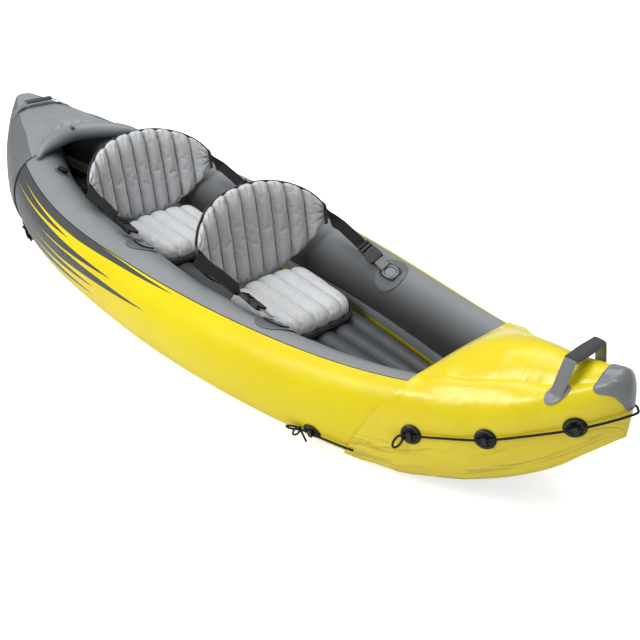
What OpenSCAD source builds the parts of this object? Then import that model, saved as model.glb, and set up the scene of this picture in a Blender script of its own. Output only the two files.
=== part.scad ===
// Two-person inflatable kayak: two side chambers, a beam floor, bow and stern
// covers, two strapped seats, carry handles, grab lines, valves and a skeg.
// +X points to the bow, +Y to port, Z is up from the ground.

/* [Hull] */
// Length over all, from the stern cover to the bow cover
hull_length = 3120; // [2900:10:3400]
// Beam across the two side chambers amidships
hull_beam = 906; // [860:2:980]
// Width of one inflated side chamber amidships
chamber_width = 262; // [236:2:276]
// Height of the sheer amidships
side_height = 280; // [260:1:310]
// Rise of the sheer from amidships to the bow
bow_rise = 215; // [170:5:240]
// Rise of the sheer from amidships to the stern
stern_rise = 130; // [100:5:170]
// Height of the foremost point of the bow
bow_stem_z = 327; // [300:1:350]
// Height of the aftmost point of the stern
stern_stem_z = 338; // [310:1:360]
// Thickness of the bottom sheet
bottom_wall = 3; // [2:0.5:5]
// Thickness of the cover sheets
cover_wall = 2.5; // [2:0.5:4]

/* [Covers] */
// Length of the bow deck from its cockpit edge to the nose
bow_deck_length = 470; // [420:5:560]
// How far the skirt's lower corner runs back past the bow deck edge
bow_skirt_sweep = 150; // [80:5:200]
// Crown of the bow deck between the chambers
bow_deck_crown = 60; // [30:1:70]
// Length of the stern deck on the centreline
stern_deck_length = 494; // [440:2:560]
// How far the stern deck's edge curves forward at the chambers
stern_deck_sweep = 126; // [90:2:150]
// Crown of the stern deck behind its cowl
stern_deck_crown = 28; // [15:1:40]
// Diameter of the inflated cowl in front of the stern deck
cowl_d = 72; // [56:2:80]

/* [Floor] */
// Height of the beam floor's crests above the bottom sheet
floor_height = 112; // [90:1:125]
// Depth of the channels between the floor beams
floor_channel = 16; // [6:1:24]
// Number of lengthwise floor beams
floor_beams = 5; // [3:1:7]

/* [Seats] */
// Distance between the two seats
seat_pitch = 680; // [620:5:720]
// Forward face of the front backrest at its foot, from amidships
seat_x = 215; // [190:1:230]
// Length of a seat cushion
cushion_length = 345; // [310:1:370]
// Thickness of a cushion at its rear edge
cushion_rear_h = 88; // [74:1:94]
// Thickness of a cushion at its front edge
cushion_front_h = 74; // [56:1:80]
// Number of fore-and-aft channels in a cushion
cushion_channels = 5; // [3:1:7]
// Width of a backrest
backrest_w = 516; // [470:2:530]
// Height of a backrest at its middle
backrest_h = 326; // [300:2:340]
// Number of upright channels in a backrest
backrest_channels = 9; // [5:1:11]
// Lean of a backrest from upright
backrest_lean = 9; // [4:1:14]

/* [Straps] */
// Width of the seat webbing
webbing_w = 38; // [30:1:42]
// Thickness of the seat webbing
webbing_t = 2; // [1.5:0.1:2.6]
// Width of a buckle housing
buckle_w = 50; // [44:1:56]
// Thickness of a buckle housing
buckle_h = 14; // [12:0.5:18]

/* [Fittings] */
// Diameter of the grab lines
rope_d = 6; // [5:0.5:8]
// Diameter of a grab line anchor
anchor_d = 54; // [44:1:60]
// Length of a carry handle's grip
grip_length = 116; // [90:2:124]
// Height of a carry handle's grip above its deck
handle_rise = 30; // [26:1:50]
// Diameter of the chamber valves
valve_d = 58; // [46:1:64]
// Length of the skeg along the keel
skeg_length = 150; // [110:5:170]
// Depth of the skeg below its shoe
skeg_depth = 44; // [30:1:48]

/* [Hidden] */

$fn = 48;
yellow = "#f0dc1e";
dark_grey = "#55585c";
mid_grey = "#7d8187";
pale_grey = "#c9cbcd";
black = "#1c1c1e";

// Clearances between pieces that lie on each other
weld_gap = 0.4;
cover_gap = 2.4;
chamber_gap = 0.4;
patch_gap = 0.99;
soft_gap = 3;
running_gap = 0.5;

// Hull lines, bow value first and stern value second
half_length = hull_length / 2 - cover_gap - cover_wall;
plan_power = [1.9, 2.58];
plan_fullness = [0.72, 0.85];
sheer_start = 200;
sheer_rise = [bow_rise, stern_rise];
sheer_power = [4, 1.8];
stem_z = [bow_stem_z, stern_stem_z];
stem_round = [35, 55];
keel_run = [746, 866];
keel_start = [half_length - keel_run[0], half_length - keel_run[1]];
keel_power = [3.3, 2.6];
chamber_taper = [0.44, 0];
keel_lift = [20, 0];
keel_lift_power = 1.5;
chamber_rings = 13;
chamber_sides = 24;
stem_steps = 5;
stem_sweep = 85;
cover_out = cover_gap + cover_wall;

function end_of(x) = x >= 0 ? 0 : 1;
function unit(v) = v / norm(v);
function mix(a, b, f) = a + (b - a) * f;

// Lines of the hull at station x, grown outwards by d
function reach(d) = half_length + d;
function fraction(x, d) = min(1, abs(x) / reach(d));
function beam_at(x, d = 0) = let (e = end_of(x))
    (hull_beam / 2 + d) * pow(1 - pow(fraction(x, d), plan_power[e]), plan_fullness[e]);
function chamber_r(x, d = 0) = min(chamber_width / 2 * (1 - chamber_taper[end_of(x)] * fraction(x, d)) + d,
    (beam_at(x, d) - chamber_gap) / 2);
function chamber_y(x, d = 0) = beam_at(x, d) - chamber_r(x, d);
function sheer_z(x) = let (e = end_of(x), run = (abs(x) - sheer_start) / (half_length - sheer_start))
    side_height + sheer_rise[e] * pow(max(0, run), sheer_power[e]);
function stem_closing(x, d) = let (e = end_of(x), run = (abs(x) - reach(d)) / stem_round[e] + 1)
    run <= 0 ? 1 : sqrt(max(0, 1 - run * run));
function crown_z(x, d = 0) = let (stem = stem_z[end_of(x)])
    stem + (sheer_z(x) + d - stem) * stem_closing(x, d);
function keel_z(x, d = 0) = let (e = end_of(x), run = (abs(x) - keel_start[e]) / (reach(d) - keel_start[e]))
    keel_lift[e] * pow(fraction(x, d), keel_lift_power)
    + (stem_z[e] - keel_lift[e]) * pow(min(1, max(0, run)), keel_power[e]);
function chamber_foot(x, d = 0) = min(keel_z(x, d) + bottom_wall + weld_gap - d, crown_z(x, d) - 2);
function chamber_mid(x, d = 0) = (crown_z(x, d) + chamber_foot(x, d)) / 2;
function chamber_half(x, d = 0) = (crown_z(x, d) - chamber_foot(x, d)) / 2;

// Stations: n steps from a towards the stem, closing up there, and then round the stem itself
function stem_x(e, d, k) = reach(d) - stem_round[e] * (1 - sin(stem_sweep * k / stem_steps));
function stations(a, e, d, n, power = 1.6) = concat(
    [for (i = [0:n - 1]) mix(a, stem_x(e, d, 0), 1 - pow(1 - i / n, power))],
    [for (k = [0:stem_steps]) stem_x(e, d, k)]);
function backwards(v) = [for (i = [len(v) - 1:-1:0]) v[i]];
bow_stations = stations(0, 0, 0, chamber_rings);
stern_stations = -1 * backwards(stations(0, 1, 0, chamber_rings));
hull_stations = concat([for (i = [0:len(stern_stations) - 2]) stern_stations[i]], bow_stations);

// Point of the chamber's skin at station x and angle a from the outer side
function skin_at(x, a, d, side) = [x, side * (chamber_y(x, d) + chamber_r(x, d) * cos(a)),
    chamber_mid(x, d) + chamber_half(x, d) * sin(a)];
// Half-chord of the chamber at height z, as a share of its radius
function chord(x, z, d) = sqrt(max(0, 1 - pow((z - chamber_mid(x, d)) / chamber_half(x, d), 2)));
function outer_y(x, z, d = 0) = chamber_y(x, d) + chamber_r(x, d) * chord(x, z, d);
function inner_y(x, z) = chamber_y(x) - chamber_r(x) * chord(x, z, 0);
function side_at(x, z, d, side) = [x, side * outer_y(x, z, d), z];
function top_z(x, y, d = 0) = chamber_mid(x, d) + chamber_half(x, d)
    * sqrt(max(0, 1 - pow((abs(y) - chamber_y(x, d)) / chamber_r(x, d), 2)));

// Solid modules
function quad(a, b, c, d) = [[a, b, c], [a, c, d]];

// Closed solid through rings of equal length, with flat ends
module loft(rings) {
    m = len(rings[0]);
    n = len(rings);
    sides = [for (i = [0:n - 2], j = [0:m - 1]) let (k = (j + 1) % m)
        each quad(i * m + j, (i + 1) * m + j, (i + 1) * m + k, i * m + k)];
    ends = [[for (j = [0:m - 1]) j], [for (j = [m - 1:-1:0]) (n - 1) * m + j]];
    polyhedron([for (r = rings) each r], concat(ends, sides), convexity = 6);
}

// Closed solid between an upper and an under grid; tip zips the last row shut
module slab(upper, under, tip = false) {
    n = len(upper);
    m = len(upper[0]);
    k = n * m;
    last = (n - 1) * m;
    sheets = [for (i = [0:n - 2], j = [0:m - 2]) let (a = i * m + j)
        each concat(quad(a, a + 1, a + m + 1, a + m), quad(k + a, k + a + m, k + a + m + 1, k + a + 1))];
    edges = [for (i = [0:n - 2]) let (a = i * m, b = a + m - 1)
        each concat(quad(a, a + m, k + a + m, k + a), quad(b + m, b, k + b, k + b + m))];
    foot = [for (j = [0:m - 2]) each quad(j + 1, j, k + j, k + j + 1)];
    head = [for (j = [0:m - 2]) let (a = last + j) each quad(a, a + 1, k + a + 1, k + a)];
    zip = [for (j = [0:m / 2 - 2]) let (a = last + j, b = last + m - 1 - j)
        each concat(quad(a, a + 1, b - 1, b), quad(k + b, k + b - 1, k + a + 1, k + a))];
    sill = quad(last, last + m - 1, k + last + m - 1, k + last);
    points = concat([for (r = upper) each r], [for (r = under) each r]);
    polyhedron(points, concat(sheets, edges, foot, tip ? concat(zip, sill) : head), convexity = 8);
}

// Rings of a round cord of diameter d along a path
function cord_rings(path, d, sides = 8) = [for (i = [0:len(path) - 1]) let (
    t = unit(path[min(i + 1, len(path) - 1)] - path[max(i - 1, 0)]),
    w = unit(cross([0, 0, 1], t)), n = cross(t, w))
    [for (j = [0:sides - 1]) let (a = 360 * j / sides) path[i] + d / 2 * (cos(a) * w + sin(a) * n)]];

// Sets children on point p with their X axis along t and their Z axis near n
module seat_on(p, t, n) {
    z = unit(n - (n * t) * t);
    y = cross(z, t);
    multmatrix([[t.x, y.x, z.x, p.x], [t.y, y.y, z.y, p.y], [t.z, y.z, z.z, p.z], [0, 0, 0, 1]]) children();
}

module rounded_plate(l, w, h, r) {
    linear_extrude(h)
        union() {
            square([l - 2 * r, w], center = true);
            square([l, w - 2 * r], center = true);
            for (i = [-1, 1], j = [-1, 1])
                translate([i * (l / 2 - r), j * (w / 2 - r)])
                    circle(r);
        }
}

// Hull pieces
module chamber(side) {
    angles = [for (j = [0:chamber_sides - 1]) 360 * j / chamber_sides];
    loft([for (x = hull_stations) [for (a = angles) skin_at(x, side * a, 0, side)]]);
}

module starboard_chamber() { color(yellow) chamber(-1); }
module port_chamber() { color(yellow) chamber(1); }

bottom_inset = [106, 86];
bottom_bow = half_length - bottom_inset[0];
bottom_stern = bottom_inset[1] - half_length;

// Lies under both chambers, with a row at each of their rings and one between
module bottom_sheet() {
    halves = [for (i = [0:len(hull_stations) - 2]) each [hull_stations[i],
        (hull_stations[i] + hull_stations[i + 1]) / 2]];
    inner = [for (x = halves) if (x > bottom_stern + 1 && x < bottom_bow - 1) x];
    rows = concat([bottom_stern], inner, [bottom_bow]);
    function grid(lift) = [for (x = rows) [for (side = [-1, 1])
        [x, side * chamber_y(x), keel_z(x) + lift]]];
    color(dark_grey) slab(grid(bottom_wall), grid(0));
}

// The floor ends where the chambers leave only its tip's width between them
floor_tip_w = 46;
floor_rows = 18;
floor_spacing = 1.4;
floor_steps = 4;
floor_gap = 0.9;
floor_thin = 0.65;
floor_level = bottom_wall + floor_gap + floor_height;
function floor_foot(x) = keel_z(x) + bottom_wall + floor_gap;
function floor_crest(x) = max(floor_level, floor_foot(x) + floor_thin * floor_height);
function floor_half(x) = inner_y(x, floor_crest(x)) - soft_gap;
function floor_end(end, near, far, tries) = let (x = (near + far) / 2) tries == 0 ? end * x
    : floor_half(end * x) > floor_tip_w / 2 ? floor_end(end, x, far, tries - 1)
    : floor_end(end, near, x, tries - 1);
floor_stern = floor_end(-1, 0, half_length, 20);
floor_bow = floor_end(1, 0, half_length, 20);

// Height of a row of inflated channels at f from 0 to 1 across them
function channel(f, count) = pow(abs(sin(180 * f * count)), 0.7);

module beam_floor() {
    rows = [for (i = [0:floor_rows]) mix(floor_stern, floor_bow, pow(i / floor_rows, floor_spacing))];
    cols = floor_beams * floor_steps;
    upper = [for (x = rows) [for (j = [0:cols]) [x, floor_half(x) * (2 * j / cols - 1),
        floor_crest(x) - floor_channel * (1 - channel(j / cols, floor_beams))]]];
    under = [for (x = rows) [for (j = [0:cols]) [x, floor_half(x) * (2 * j / cols - 1), floor_foot(x)]]];
    color(dark_grey) slab(upper, under);
}

// Covers: columns run from the starboard skirt over the deck to the port skirt
skirt_low = -60;
seam_angle = 60;
arc_steps = 11;
deck_steps = 7;
cover_rows = 8;
cover_cols = 2 * arc_steps + deck_steps;
min_crown = 2;

function arc_angle(q) = mix(skirt_low, 90, min(q, cover_cols - q) / arc_steps);
function deck_share(q) = 1 - 2 * (q - arc_steps) / deck_steps;
function on_deck(q) = q >= arc_steps && q <= arc_steps + deck_steps;
function cover_at(x, q, d, crown) = on_deck(q)
    ? let (f = deck_share(q)) [x, -chamber_y(x, d) * f, crown_z(x, d) + crown * (1 - f * f)]
    : skin_at(x, arc_angle(q), d, q < arc_steps ? -1 : 1);

bow_tip = reach(cover_out);
bow_deck_peak = 0.7;
bow_deck_x = hull_length / 2 - bow_deck_length;
function bow_skirt_x(a) = bow_deck_x - bow_skirt_sweep * max(0, seam_angle - a) / (seam_angle - skirt_low);
function bow_edge(q) = on_deck(q) ? bow_deck_x : bow_skirt_x(arc_angle(q));
function bow_crown(x) = let (run = max(0, min(1, (x - bow_deck_x) / (bow_tip - bow_deck_x))))
    min_crown + bow_deck_crown * sin(180 * pow(run, bow_deck_peak));
function bow_grid(d) = let (xs = [for (q = [0:cover_cols]) stations(bow_edge(q), 0, d, cover_rows)])
    [for (i = [0:len(xs[0]) - 1]) [for (q = [0:cover_cols]) cover_at(xs[q][i], q, d, bow_crown(xs[q][i]))]];

module bow_cover() {
    color(yellow) slab(bow_grid(cover_out), bow_grid(cover_gap), tip = true);
}

stern_deck_x = hull_length / 2 - stern_deck_length;
stern_skirt_sweep = 40;
stern_corner_x = stern_deck_x - stern_deck_sweep;
function stern_skirt_x(a) = stern_corner_x - stern_skirt_sweep * (90 - a) / (90 - skirt_low);
stern_corner_y = chamber_y(-stern_corner_x, cover_out);
// The deck's edge is a parabola across the boat; its column at share f is found by steps
function stern_rim(f, tries = 5) = tries == 0 ? stern_corner_x
    : let (y = f * chamber_y(-stern_rim(f, tries - 1), cover_out))
    stern_deck_x - stern_deck_sweep * pow(y / stern_corner_y, 2);
function stern_edge(q) = on_deck(q) ? stern_rim(deck_share(q)) : stern_skirt_x(arc_angle(q));
function stern_crown(x) = min_crown
    + stern_deck_crown * pow(1 - max(0, min(1, (abs(x) - stern_deck_x) / stern_deck_length)), 2);
function stern_grid(d) = let (xs = [for (q = [0:cover_cols]) stations(stern_edge(q), 1, d, cover_rows)])
    [for (i = [0:len(xs[0]) - 1]) [for (q = [cover_cols:-1:0]) let (x = -xs[q][i])
        cover_at(x, q, d, stern_crown(x))]];

module stern_cover() {
    color(mid_grey) slab(stern_grid(cover_out), stern_grid(cover_gap), tip = true);
}

cowl_span = 1.14;
cowl_end_r = 8;
cowl_lift = 28;
cowl_gap = 1.9;
cowl_rings = 20;
cowl_sides = 10;
function cowl_r(t) = mix(cowl_d / 2, cowl_end_r, pow(t, 4));
function deck_rim(f) = [stern_deck_sweep * f * f - stern_deck_x, f * stern_corner_y];
function cowl_plan(t) = let (f = t * cowl_span, along = unit(deck_rim(f + 0.02) - deck_rim(f - 0.02)))
    deck_rim(f) + (cowl_r(t) + cowl_gap) * [along.y, -along.x];
function cowl_z(t) = let (p = cowl_plan(t)) mix(crown_z(-stern_corner_x) + cowl_lift,
    top_z(p.x, p.y) + cowl_r(t) + patch_gap, pow(t, 6));
function cowl_at(t) = let (p = cowl_plan(t)) [p.x, p.y, cowl_z(t)];

module stern_cowl() {
    rings = [for (i = [0:cowl_rings]) let (t = 2 * i / cowl_rings - 1,
        dir = unit(cowl_at(min(1, t + 0.01)) - cowl_at(max(-1, t - 0.01))),
        w = unit(cross([0, 0, 1], dir)), n = cross(dir, w))
        [for (j = [0:cowl_sides - 1]) let (a = 360 * j / cowl_sides)
            cowl_at(t) + cowl_r(t) * (cos(a) * w + sin(a) * n)]];
    color(mid_grey) loft(rings);
}

// Nose patch: a cap over the top of the bow
patch_low = 28;
patch_length = 74;
patch_wall = 1.6;
patch_rows = 2;
function patch_edge(q) = bow_tip - mix(stem_round[0], patch_length, pow(sin(180 * q / cover_cols), 0.7));
function patch_angle(q) = mix(patch_low, 90, min(q, cover_cols - q) / arc_steps);
function patch_at(x, q, d) = on_deck(q) ? cover_at(x, q, d, bow_crown(x))
    : skin_at(x, patch_angle(q), d, q < arc_steps ? -1 : 1);
function patch_grid(d) = let (xs = [for (q = [0:cover_cols]) stations(patch_edge(q), 0, d, patch_rows)])
    [for (i = [0:len(xs[0]) - 1]) [for (q = [0:cover_cols]) patch_at(xs[q][i], q, d)]];
patch_in = cover_out + patch_gap;
patch_out = patch_in + patch_wall;

module nose_patch() {
    color(mid_grey) slab(patch_grid(patch_out), patch_grid(patch_in), tip = true);
}

// Round patch of radius r moulded to the skin around station x and angle a
patch_steps = 5;
module skin_patch(x, a, r, d_in, d_out, side) {
    edge = 0.97;
    function grid(d) = [for (i = [0:patch_steps]) let (k = edge * (2 * i / patch_steps - 1),
        half = r * sqrt(1 - k * k) / chamber_r(x, d) * 180 / PI)
        [for (j = [0:patch_steps])
            skin_at(x + k * r, a - side * half * (2 * j / patch_steps - 1), d, side)]];
    slab(grid(d_out), grid(d_in));
}
function skin_normal(x, a, d, side) = -side * unit(cross(
    skin_at(x + 1, a, d, side) - skin_at(x - 1, a, d, side),
    skin_at(x, a + 1, d, side) - skin_at(x, a - 1, d, side)));

// Carry handles
disc_d = 44;
disc_wall = 2.4;
handle_angle = 66;
handle_strap_w = 30;
handle_strap_t = 2.2;
grip_w = 36;
grip_t = 13;
handle_inset = [140, 200];
bow_handle_x = hull_length / 2 - handle_inset[0];
stern_handle_x = handle_inset[1] - hull_length / 2;
disc_out = cover_out + patch_gap;
foot_sweep = 6;
foot_out = disc_out + disc_wall + patch_gap + handle_strap_t / 2;
function handle_foot(x, a) = let (p = skin_at(x, a, foot_out, 1)) [p.y, p.z];
function deck_z(x) = crown_z(x, cover_out) + (x > 0 ? bow_crown(x) : stern_crown(x));
function grip_z(x) = deck_z(x) + handle_rise;
grip_bend = 8;

module handle_discs(x) {
    for (side = [-1, 1])
        skin_patch(x, handle_angle, disc_d / 2, disc_out, disc_out + disc_wall, side);
}

// Half of the strap's path at station x, from its foot on the disc to the grip at handle_x
function strap_path(x, handle_x) = let (top = grip_z(handle_x), bend_y = grip_length / 2 + grip_bend,
    foot = handle_foot(x, handle_angle))
    [handle_foot(x, handle_angle - foot_sweep), foot,
     [mix(foot[0], bend_y, 0.5), mix(foot[1], top, 0.45)], [bend_y, top - grip_bend],
     [bend_y - grip_bend / 2, top - grip_bend / 4], [grip_length / 2, top]];
function both_ways(half) = concat([for (p = half) [-p[0], p[1]]], backwards(half));

module handle_strap(x) {
    function edge(ex, face) = let (path = both_ways(strap_path(ex, x)), last = len(path) - 1)
        [for (i = [0:last]) let (t = unit(path[min(i + 1, last)] - path[max(i - 1, 0)]),
            p = path[i] + [-t[1], t[0]] * face * handle_strap_t / 2) [ex, p[0], p[1]]];
    function grid(face) = [edge(x - handle_strap_w / 2, face), edge(x + handle_strap_w / 2, face)];
    slab(grid(1), grid(-1));
}

module handle_grip(x) {
    slot_w = handle_strap_w + 2 * weld_gap;
    slot_t = handle_strap_t + 2 * weld_gap;
    translate([x, grip_length / 2, grip_z(x)])
        rotate([90, 0, 0])
            linear_extrude(grip_length)
                difference() {
                    union() {
                        square([grip_w - grip_t, grip_t], center = true);
                        for (i = [-1, 1])
                            translate([i * (grip_w - grip_t) / 2, 0])
                                circle(grip_t / 2);
                    }
                    square([slot_w, slot_t], center = true);
                }
}

module bow_handle_discs() { color(mid_grey) handle_discs(bow_handle_x); }
module bow_handle_strap() { color(dark_grey) handle_strap(bow_handle_x); }
module bow_handle_grip() { color(dark_grey) handle_grip(bow_handle_x); }
module stern_handle_discs() { color(mid_grey) handle_discs(stern_handle_x); }
module stern_handle_strap() { color(dark_grey) handle_strap(stern_handle_x); }
module stern_handle_grip() { color(dark_grey) handle_grip(stern_handle_x); }

// Grab lines and their anchors, by distance from the end of the hull and height
anchor_base = 3;
anchor_rim = 5;
bridge_l = 12;
bridge_w = 20;
rope_clear = 0.7;
rope_lift = anchor_rim + 2 * running_gap + rope_d / 2;
rope_base = cover_out + weld_gap;
bow_anchors = [for (p = [[410, 212], [245, 264], [82, 350]]) [hull_length / 2 - p[0], p[1]]];
stern_anchors = [for (p = [[390, 150], [250, 215], [65, 300]]) [hull_length / 2 - p[0], p[1]]];
rope_over_stem = [75, 7];
bow_rope_tip_z = bow_stem_z + rope_over_stem[0];
stern_rope_tip_z = stern_stem_z + rope_over_stem[1];
rope_steps = 5;
rope_tail = 14;
rope_round = 10;

// Outward normal of the hull's side, and the rope that runs above it at an anchor's height
function side_normal(x, z, d, side) = side * unit(cross(
    side_at(x, z + 1, d, side) - side_at(x, z - 1, d, side),
    side_at(x + 1, z, d, side) - side_at(x - 1, z, d, side)));
function rope_at(x, z, d, side) = side_at(x, z, d, side) + rope_lift * side_normal(x, z, d, side);

function route_z(x, anchors, tip_z) = lookup(abs(x), concat([mix(anchors[0], anchors[1], -0.3)], anchors,
    [[reach(rope_base), tip_z]]));
function route_at(x, anchors, tip_z, side) = rope_at(x, route_z(x, anchors, tip_z), rope_base, side);
function route_stations(anchors) = let (last = reach(rope_base) - rope_round,
    marks = concat([for (p = anchors) p[0]], [last]))
    concat([marks[0] - rope_tail], [for (i = [0:len(marks) - 2], j = [0:rope_steps - 1])
        mix(marks[i], marks[i + 1], j / rope_steps)], [last]);
function half_route(end, anchors, tip_z, side) = [for (x = route_stations(anchors))
    route_at(end * x, anchors, tip_z, side)];
function full_route(end, anchors, tip_z) = concat(half_route(end, anchors, tip_z, -1),
    [[end * (reach(rope_base) + rope_lift), 0, tip_z]], backwards(half_route(end, anchors, tip_z, 1)));

module grab_line(end, anchors, tip_z) {
    loft(cord_rings(full_route(end, anchors, tip_z), rope_d));
}

module line_anchor() {
    r = anchor_d / 2;
    difference() {
        union() {
            rotate_extrude()
                polygon([[0, 0], [r, 0], [r, anchor_base - 1], [r - 3, anchor_base], [r - 5, anchor_rim],
                    [r - 9, anchor_rim], [r - 11, anchor_base], [0, anchor_base]]);
            translate([-bridge_l / 2, -bridge_w / 2, 0])
                cube([bridge_l, bridge_w, rope_lift + rope_d / 2 + rope_clear + 3]);
            for (a = [45:90:315])
                rotate(a)
                    translate([bridge_w / 2 - 2, -1.5, 0])
                        cube([r - bridge_w / 2 - 3, 3, anchor_rim]);
        }
        translate([-anchor_d, 0, rope_lift])
            rotate([0, 90, 0])
                cylinder(r = rope_d / 2 + rope_clear, h = 2 * anchor_d);
    }
}

// Sets an anchor on the hull's side below the rope, whose tangent there is t
module anchor_on(x, z, d, side, t) {
    n = side_normal(x, z, d, side);
    seat_on(side_at(x, z, d, side), unit(t - (t * n) * n), n) line_anchor();
}

module line_anchors(end, anchors, tip_z) {
    for (side = [-1, 1], p = anchors) {
        x = end * p[0];
        anchor_on(x, p[1], rope_base, side,
            route_at(x + 4, anchors, tip_z, side) - route_at(x - 4, anchors, tip_z, side));
    }
}

module bow_line_anchors() { color(black) line_anchors(1, bow_anchors, bow_rope_tip_z); }
module stern_line_anchors() { color(black) line_anchors(-1, stern_anchors, stern_rope_tip_z); }
module bow_grab_line() { color(black) grab_line(1, bow_anchors, bow_rope_tip_z); }
module stern_grab_line() { color(black) grab_line(-1, stern_anchors, stern_rope_tip_z); }

// Tie-downs that hold the skirts' lower corners to the chambers
tie_back = [70, 50];
tie_stations = [bow_skirt_x(skirt_low) - tie_back[0], stern_skirt_x(skirt_low) - tie_back[1]];
tie_heights = [86, 80];
tie_tail = 33;
tie_overlap = 16;
tie_rings = 8;
tie_base = 0.05;

function tie_at(end, side, run) = let (e = end_of(end))
    rope_at(end * (tie_stations[e] + run), tie_heights[e], tie_base, side);
function tie_angle(x, z) = asin((z - chamber_mid(x)) / chamber_half(x));
function tie_run(end) = let (e = end_of(end), a = tie_angle(end * tie_stations[e], tie_heights[e]))
    (end > 0 ? bow_skirt_x(a) : stern_skirt_x(a)) + tie_overlap - tie_stations[e];

module tie_anchors(end) {
    e = end_of(end);
    for (side = [-1, 1])
        anchor_on(end * tie_stations[e], tie_heights[e], tie_base, side,
            tie_at(end, side, 4) - tie_at(end, side, -4));
}

module tie_cords(end) {
    for (side = [-1, 1])
        loft(cord_rings([for (i = [0:tie_rings])
            tie_at(end, side, mix(-tie_tail, tie_run(end), i / tie_rings))], rope_d));
}

module bow_tie_anchors() { color(black) tie_anchors(1); }
module stern_tie_anchors() { color(black) tie_anchors(-1); }
module bow_tie_cords() { color(black) tie_cords(1); }
module stern_tie_cords() { color(black) tie_cords(-1); }

// Seats, drawn for the seat whose backrest foot stands at station sx
base_wall = 2.5;
base_rim = 4;
base_z = floor_level + weld_gap;
seat_z = base_z + base_wall + weld_gap;
backrest_foot = 45;
backrest_z = seat_z + backrest_foot;
backrest_wrap = 80;
wing_lift = 160;
wing_curve = 2.5;
wing_top = 0.63;
backrest_front = 24;
backrest_back = 10;
backrest_rim = 3;
backrest_valley = 0.45;
cushion_rim = 0.35;
cushion_groove = 0.2;
cushion_corner = 46;
cushion_set_back = 26;
shell_wall = 2.5;
shell_rim = 1.03;
channel_steps = 4;
cushion_rows = 10;
backrest_rows = 8;
shell_rows = 8;
shell_cols = 18;
base_steps = 8;

// Fullness of a pad at s across from -1 to 1 and t along from 0 to 1
function pad(s, t, p) = sqrt(max(0, (1 - pow(min(1, abs(s)), p)) * (1 - pow(min(1, abs(2 * t - 1)), p))));
function foot_x(sx, y) = sx + backrest_wrap * pow(2 * y / backrest_w, 2);
function inner_room(x) = chamber_y(x) - chamber_r(x);
cushion_side_gap = [11, 40];
cushion_rear_w = 2 * (inner_room(seat_x - seat_pitch) - cushion_side_gap[0]);
cushion_front_w = 2 * (inner_room(seat_x + cushion_length) - cushion_side_gap[1]);
function cushion_half(t) = mix(cushion_rear_w, cushion_front_w, t) / 2;
function cushion_height(t) = mix(cushion_rear_h, cushion_front_h, t);
function cushion_plan(sx, s, t, rim) = let (y = (cushion_half(t) + rim) * s,
    rear = foot_x(sx, cushion_rear_w / 2 * s) + cushion_set_back - rim,
    front = sx + cushion_length + rim - cushion_corner * pow(abs(s), 6)) [mix(rear, front, t), y];
function cushion_top(s, t) = seat_z + cushion_height(t) * (cushion_rim + (1 - cushion_rim) * pad(s, t, 7)
    * (1 - cushion_groove * (1 - channel((s + 1) / 2, cushion_channels))));
function cushion_under(s, t) = seat_z + cushion_height(t) * (cushion_rim - 0.05) * (1 - pad(s, t, 8));

module cushion(sx) {
    cols = cushion_channels * channel_steps;
    function grid(top) = [for (i = [0:cushion_rows]) [for (j = [0:cols])
        let (t = i / cushion_rows, s = 2 * j / cols - 1, p = cushion_plan(sx, s, t, 0))
        [p.x, p.y, top ? cushion_top(s, t) : cushion_under(s, t)]]];
    slab(grid(true), grid(false));
}

module seat_base(sx) {
    function grid(z) = [for (t = [0, 1]) [for (j = [0:base_steps])
        let (p = cushion_plan(sx, 2 * j / base_steps - 1, t, base_rim)) [p.x, p.y, z]]];
    slab(grid(base_z + base_wall), grid(base_z));
}

function backrest_low(s) = backrest_z + wing_lift * pow(abs(s), wing_curve);
function backrest_high(s) = backrest_z + backrest_h * mix(sqrt(max(0, 1 - 0.97 * s * s)), 1, wing_top);
function backrest_mid(sx, s, t) = let (y = backrest_w / 2 * s,
    z = mix(backrest_low(s), backrest_high(s), t))
    [foot_x(sx, y) - tan(backrest_lean) * (z - backrest_z), y, z];
function backrest_face(s, t) = backrest_rim + backrest_front * pad(s, t, 6)
    * mix(backrest_valley, 1, channel((s + 1) / 2, backrest_channels));
function backrest_rear(s, t) = backrest_rim + backrest_back * (1 - s * s) * (1 - pow(2 * t - 1, 2));

module backrest(sx) {
    cols = backrest_channels * channel_steps;
    function grid(face) = [for (i = [0:cols]) [for (j = [0:backrest_rows])
        let (s = 2 * i / cols - 1, t = j / backrest_rows)
        backrest_mid(sx, s, t) + [face ? backrest_face(s, t) : -backrest_rear(s, t), 0, 0]]];
    slab(grid(true), grid(false));
}

// Backing sheet of a backrest, a little larger than the pad so that its edge shows
module backrest_shell(sx) {
    function grid(d) = [for (i = [0:shell_cols]) [for (j = [0:shell_rows])
        let (s = 2 * i / shell_cols - 1, t = j / shell_rows, p = backrest_mid(sx, s, t),
            spread = (2 * t - 1) * backrest_w * (shell_rim - 1) / 2)
        [p.x - tan(backrest_lean) * spread - backrest_rear(s, t) - d, p.y * shell_rim, p.z + spread]]];
    slab(grid(weld_gap), grid(weld_gap + shell_wall));
}

// Strap runs from a plate on the chamber to the wing of a backrest
strap_reach = 396;
strap_angle = 117;
plate_l = 66;
plate_w = 46;
plate_h = 4;
plate_patch_d = 118;
plate_patch_gap = 2.4;
plate_patch_wall = 1.4;
plate_base = plate_patch_gap + plate_patch_wall;
tab_length = 64;
housing_length = 40;
tongue_length = 40;
prong_length = 24;
buckle_wall = 2.5;
ladder_bar = 6;
strap_steps = 14;
gusset_w = 64;

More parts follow.
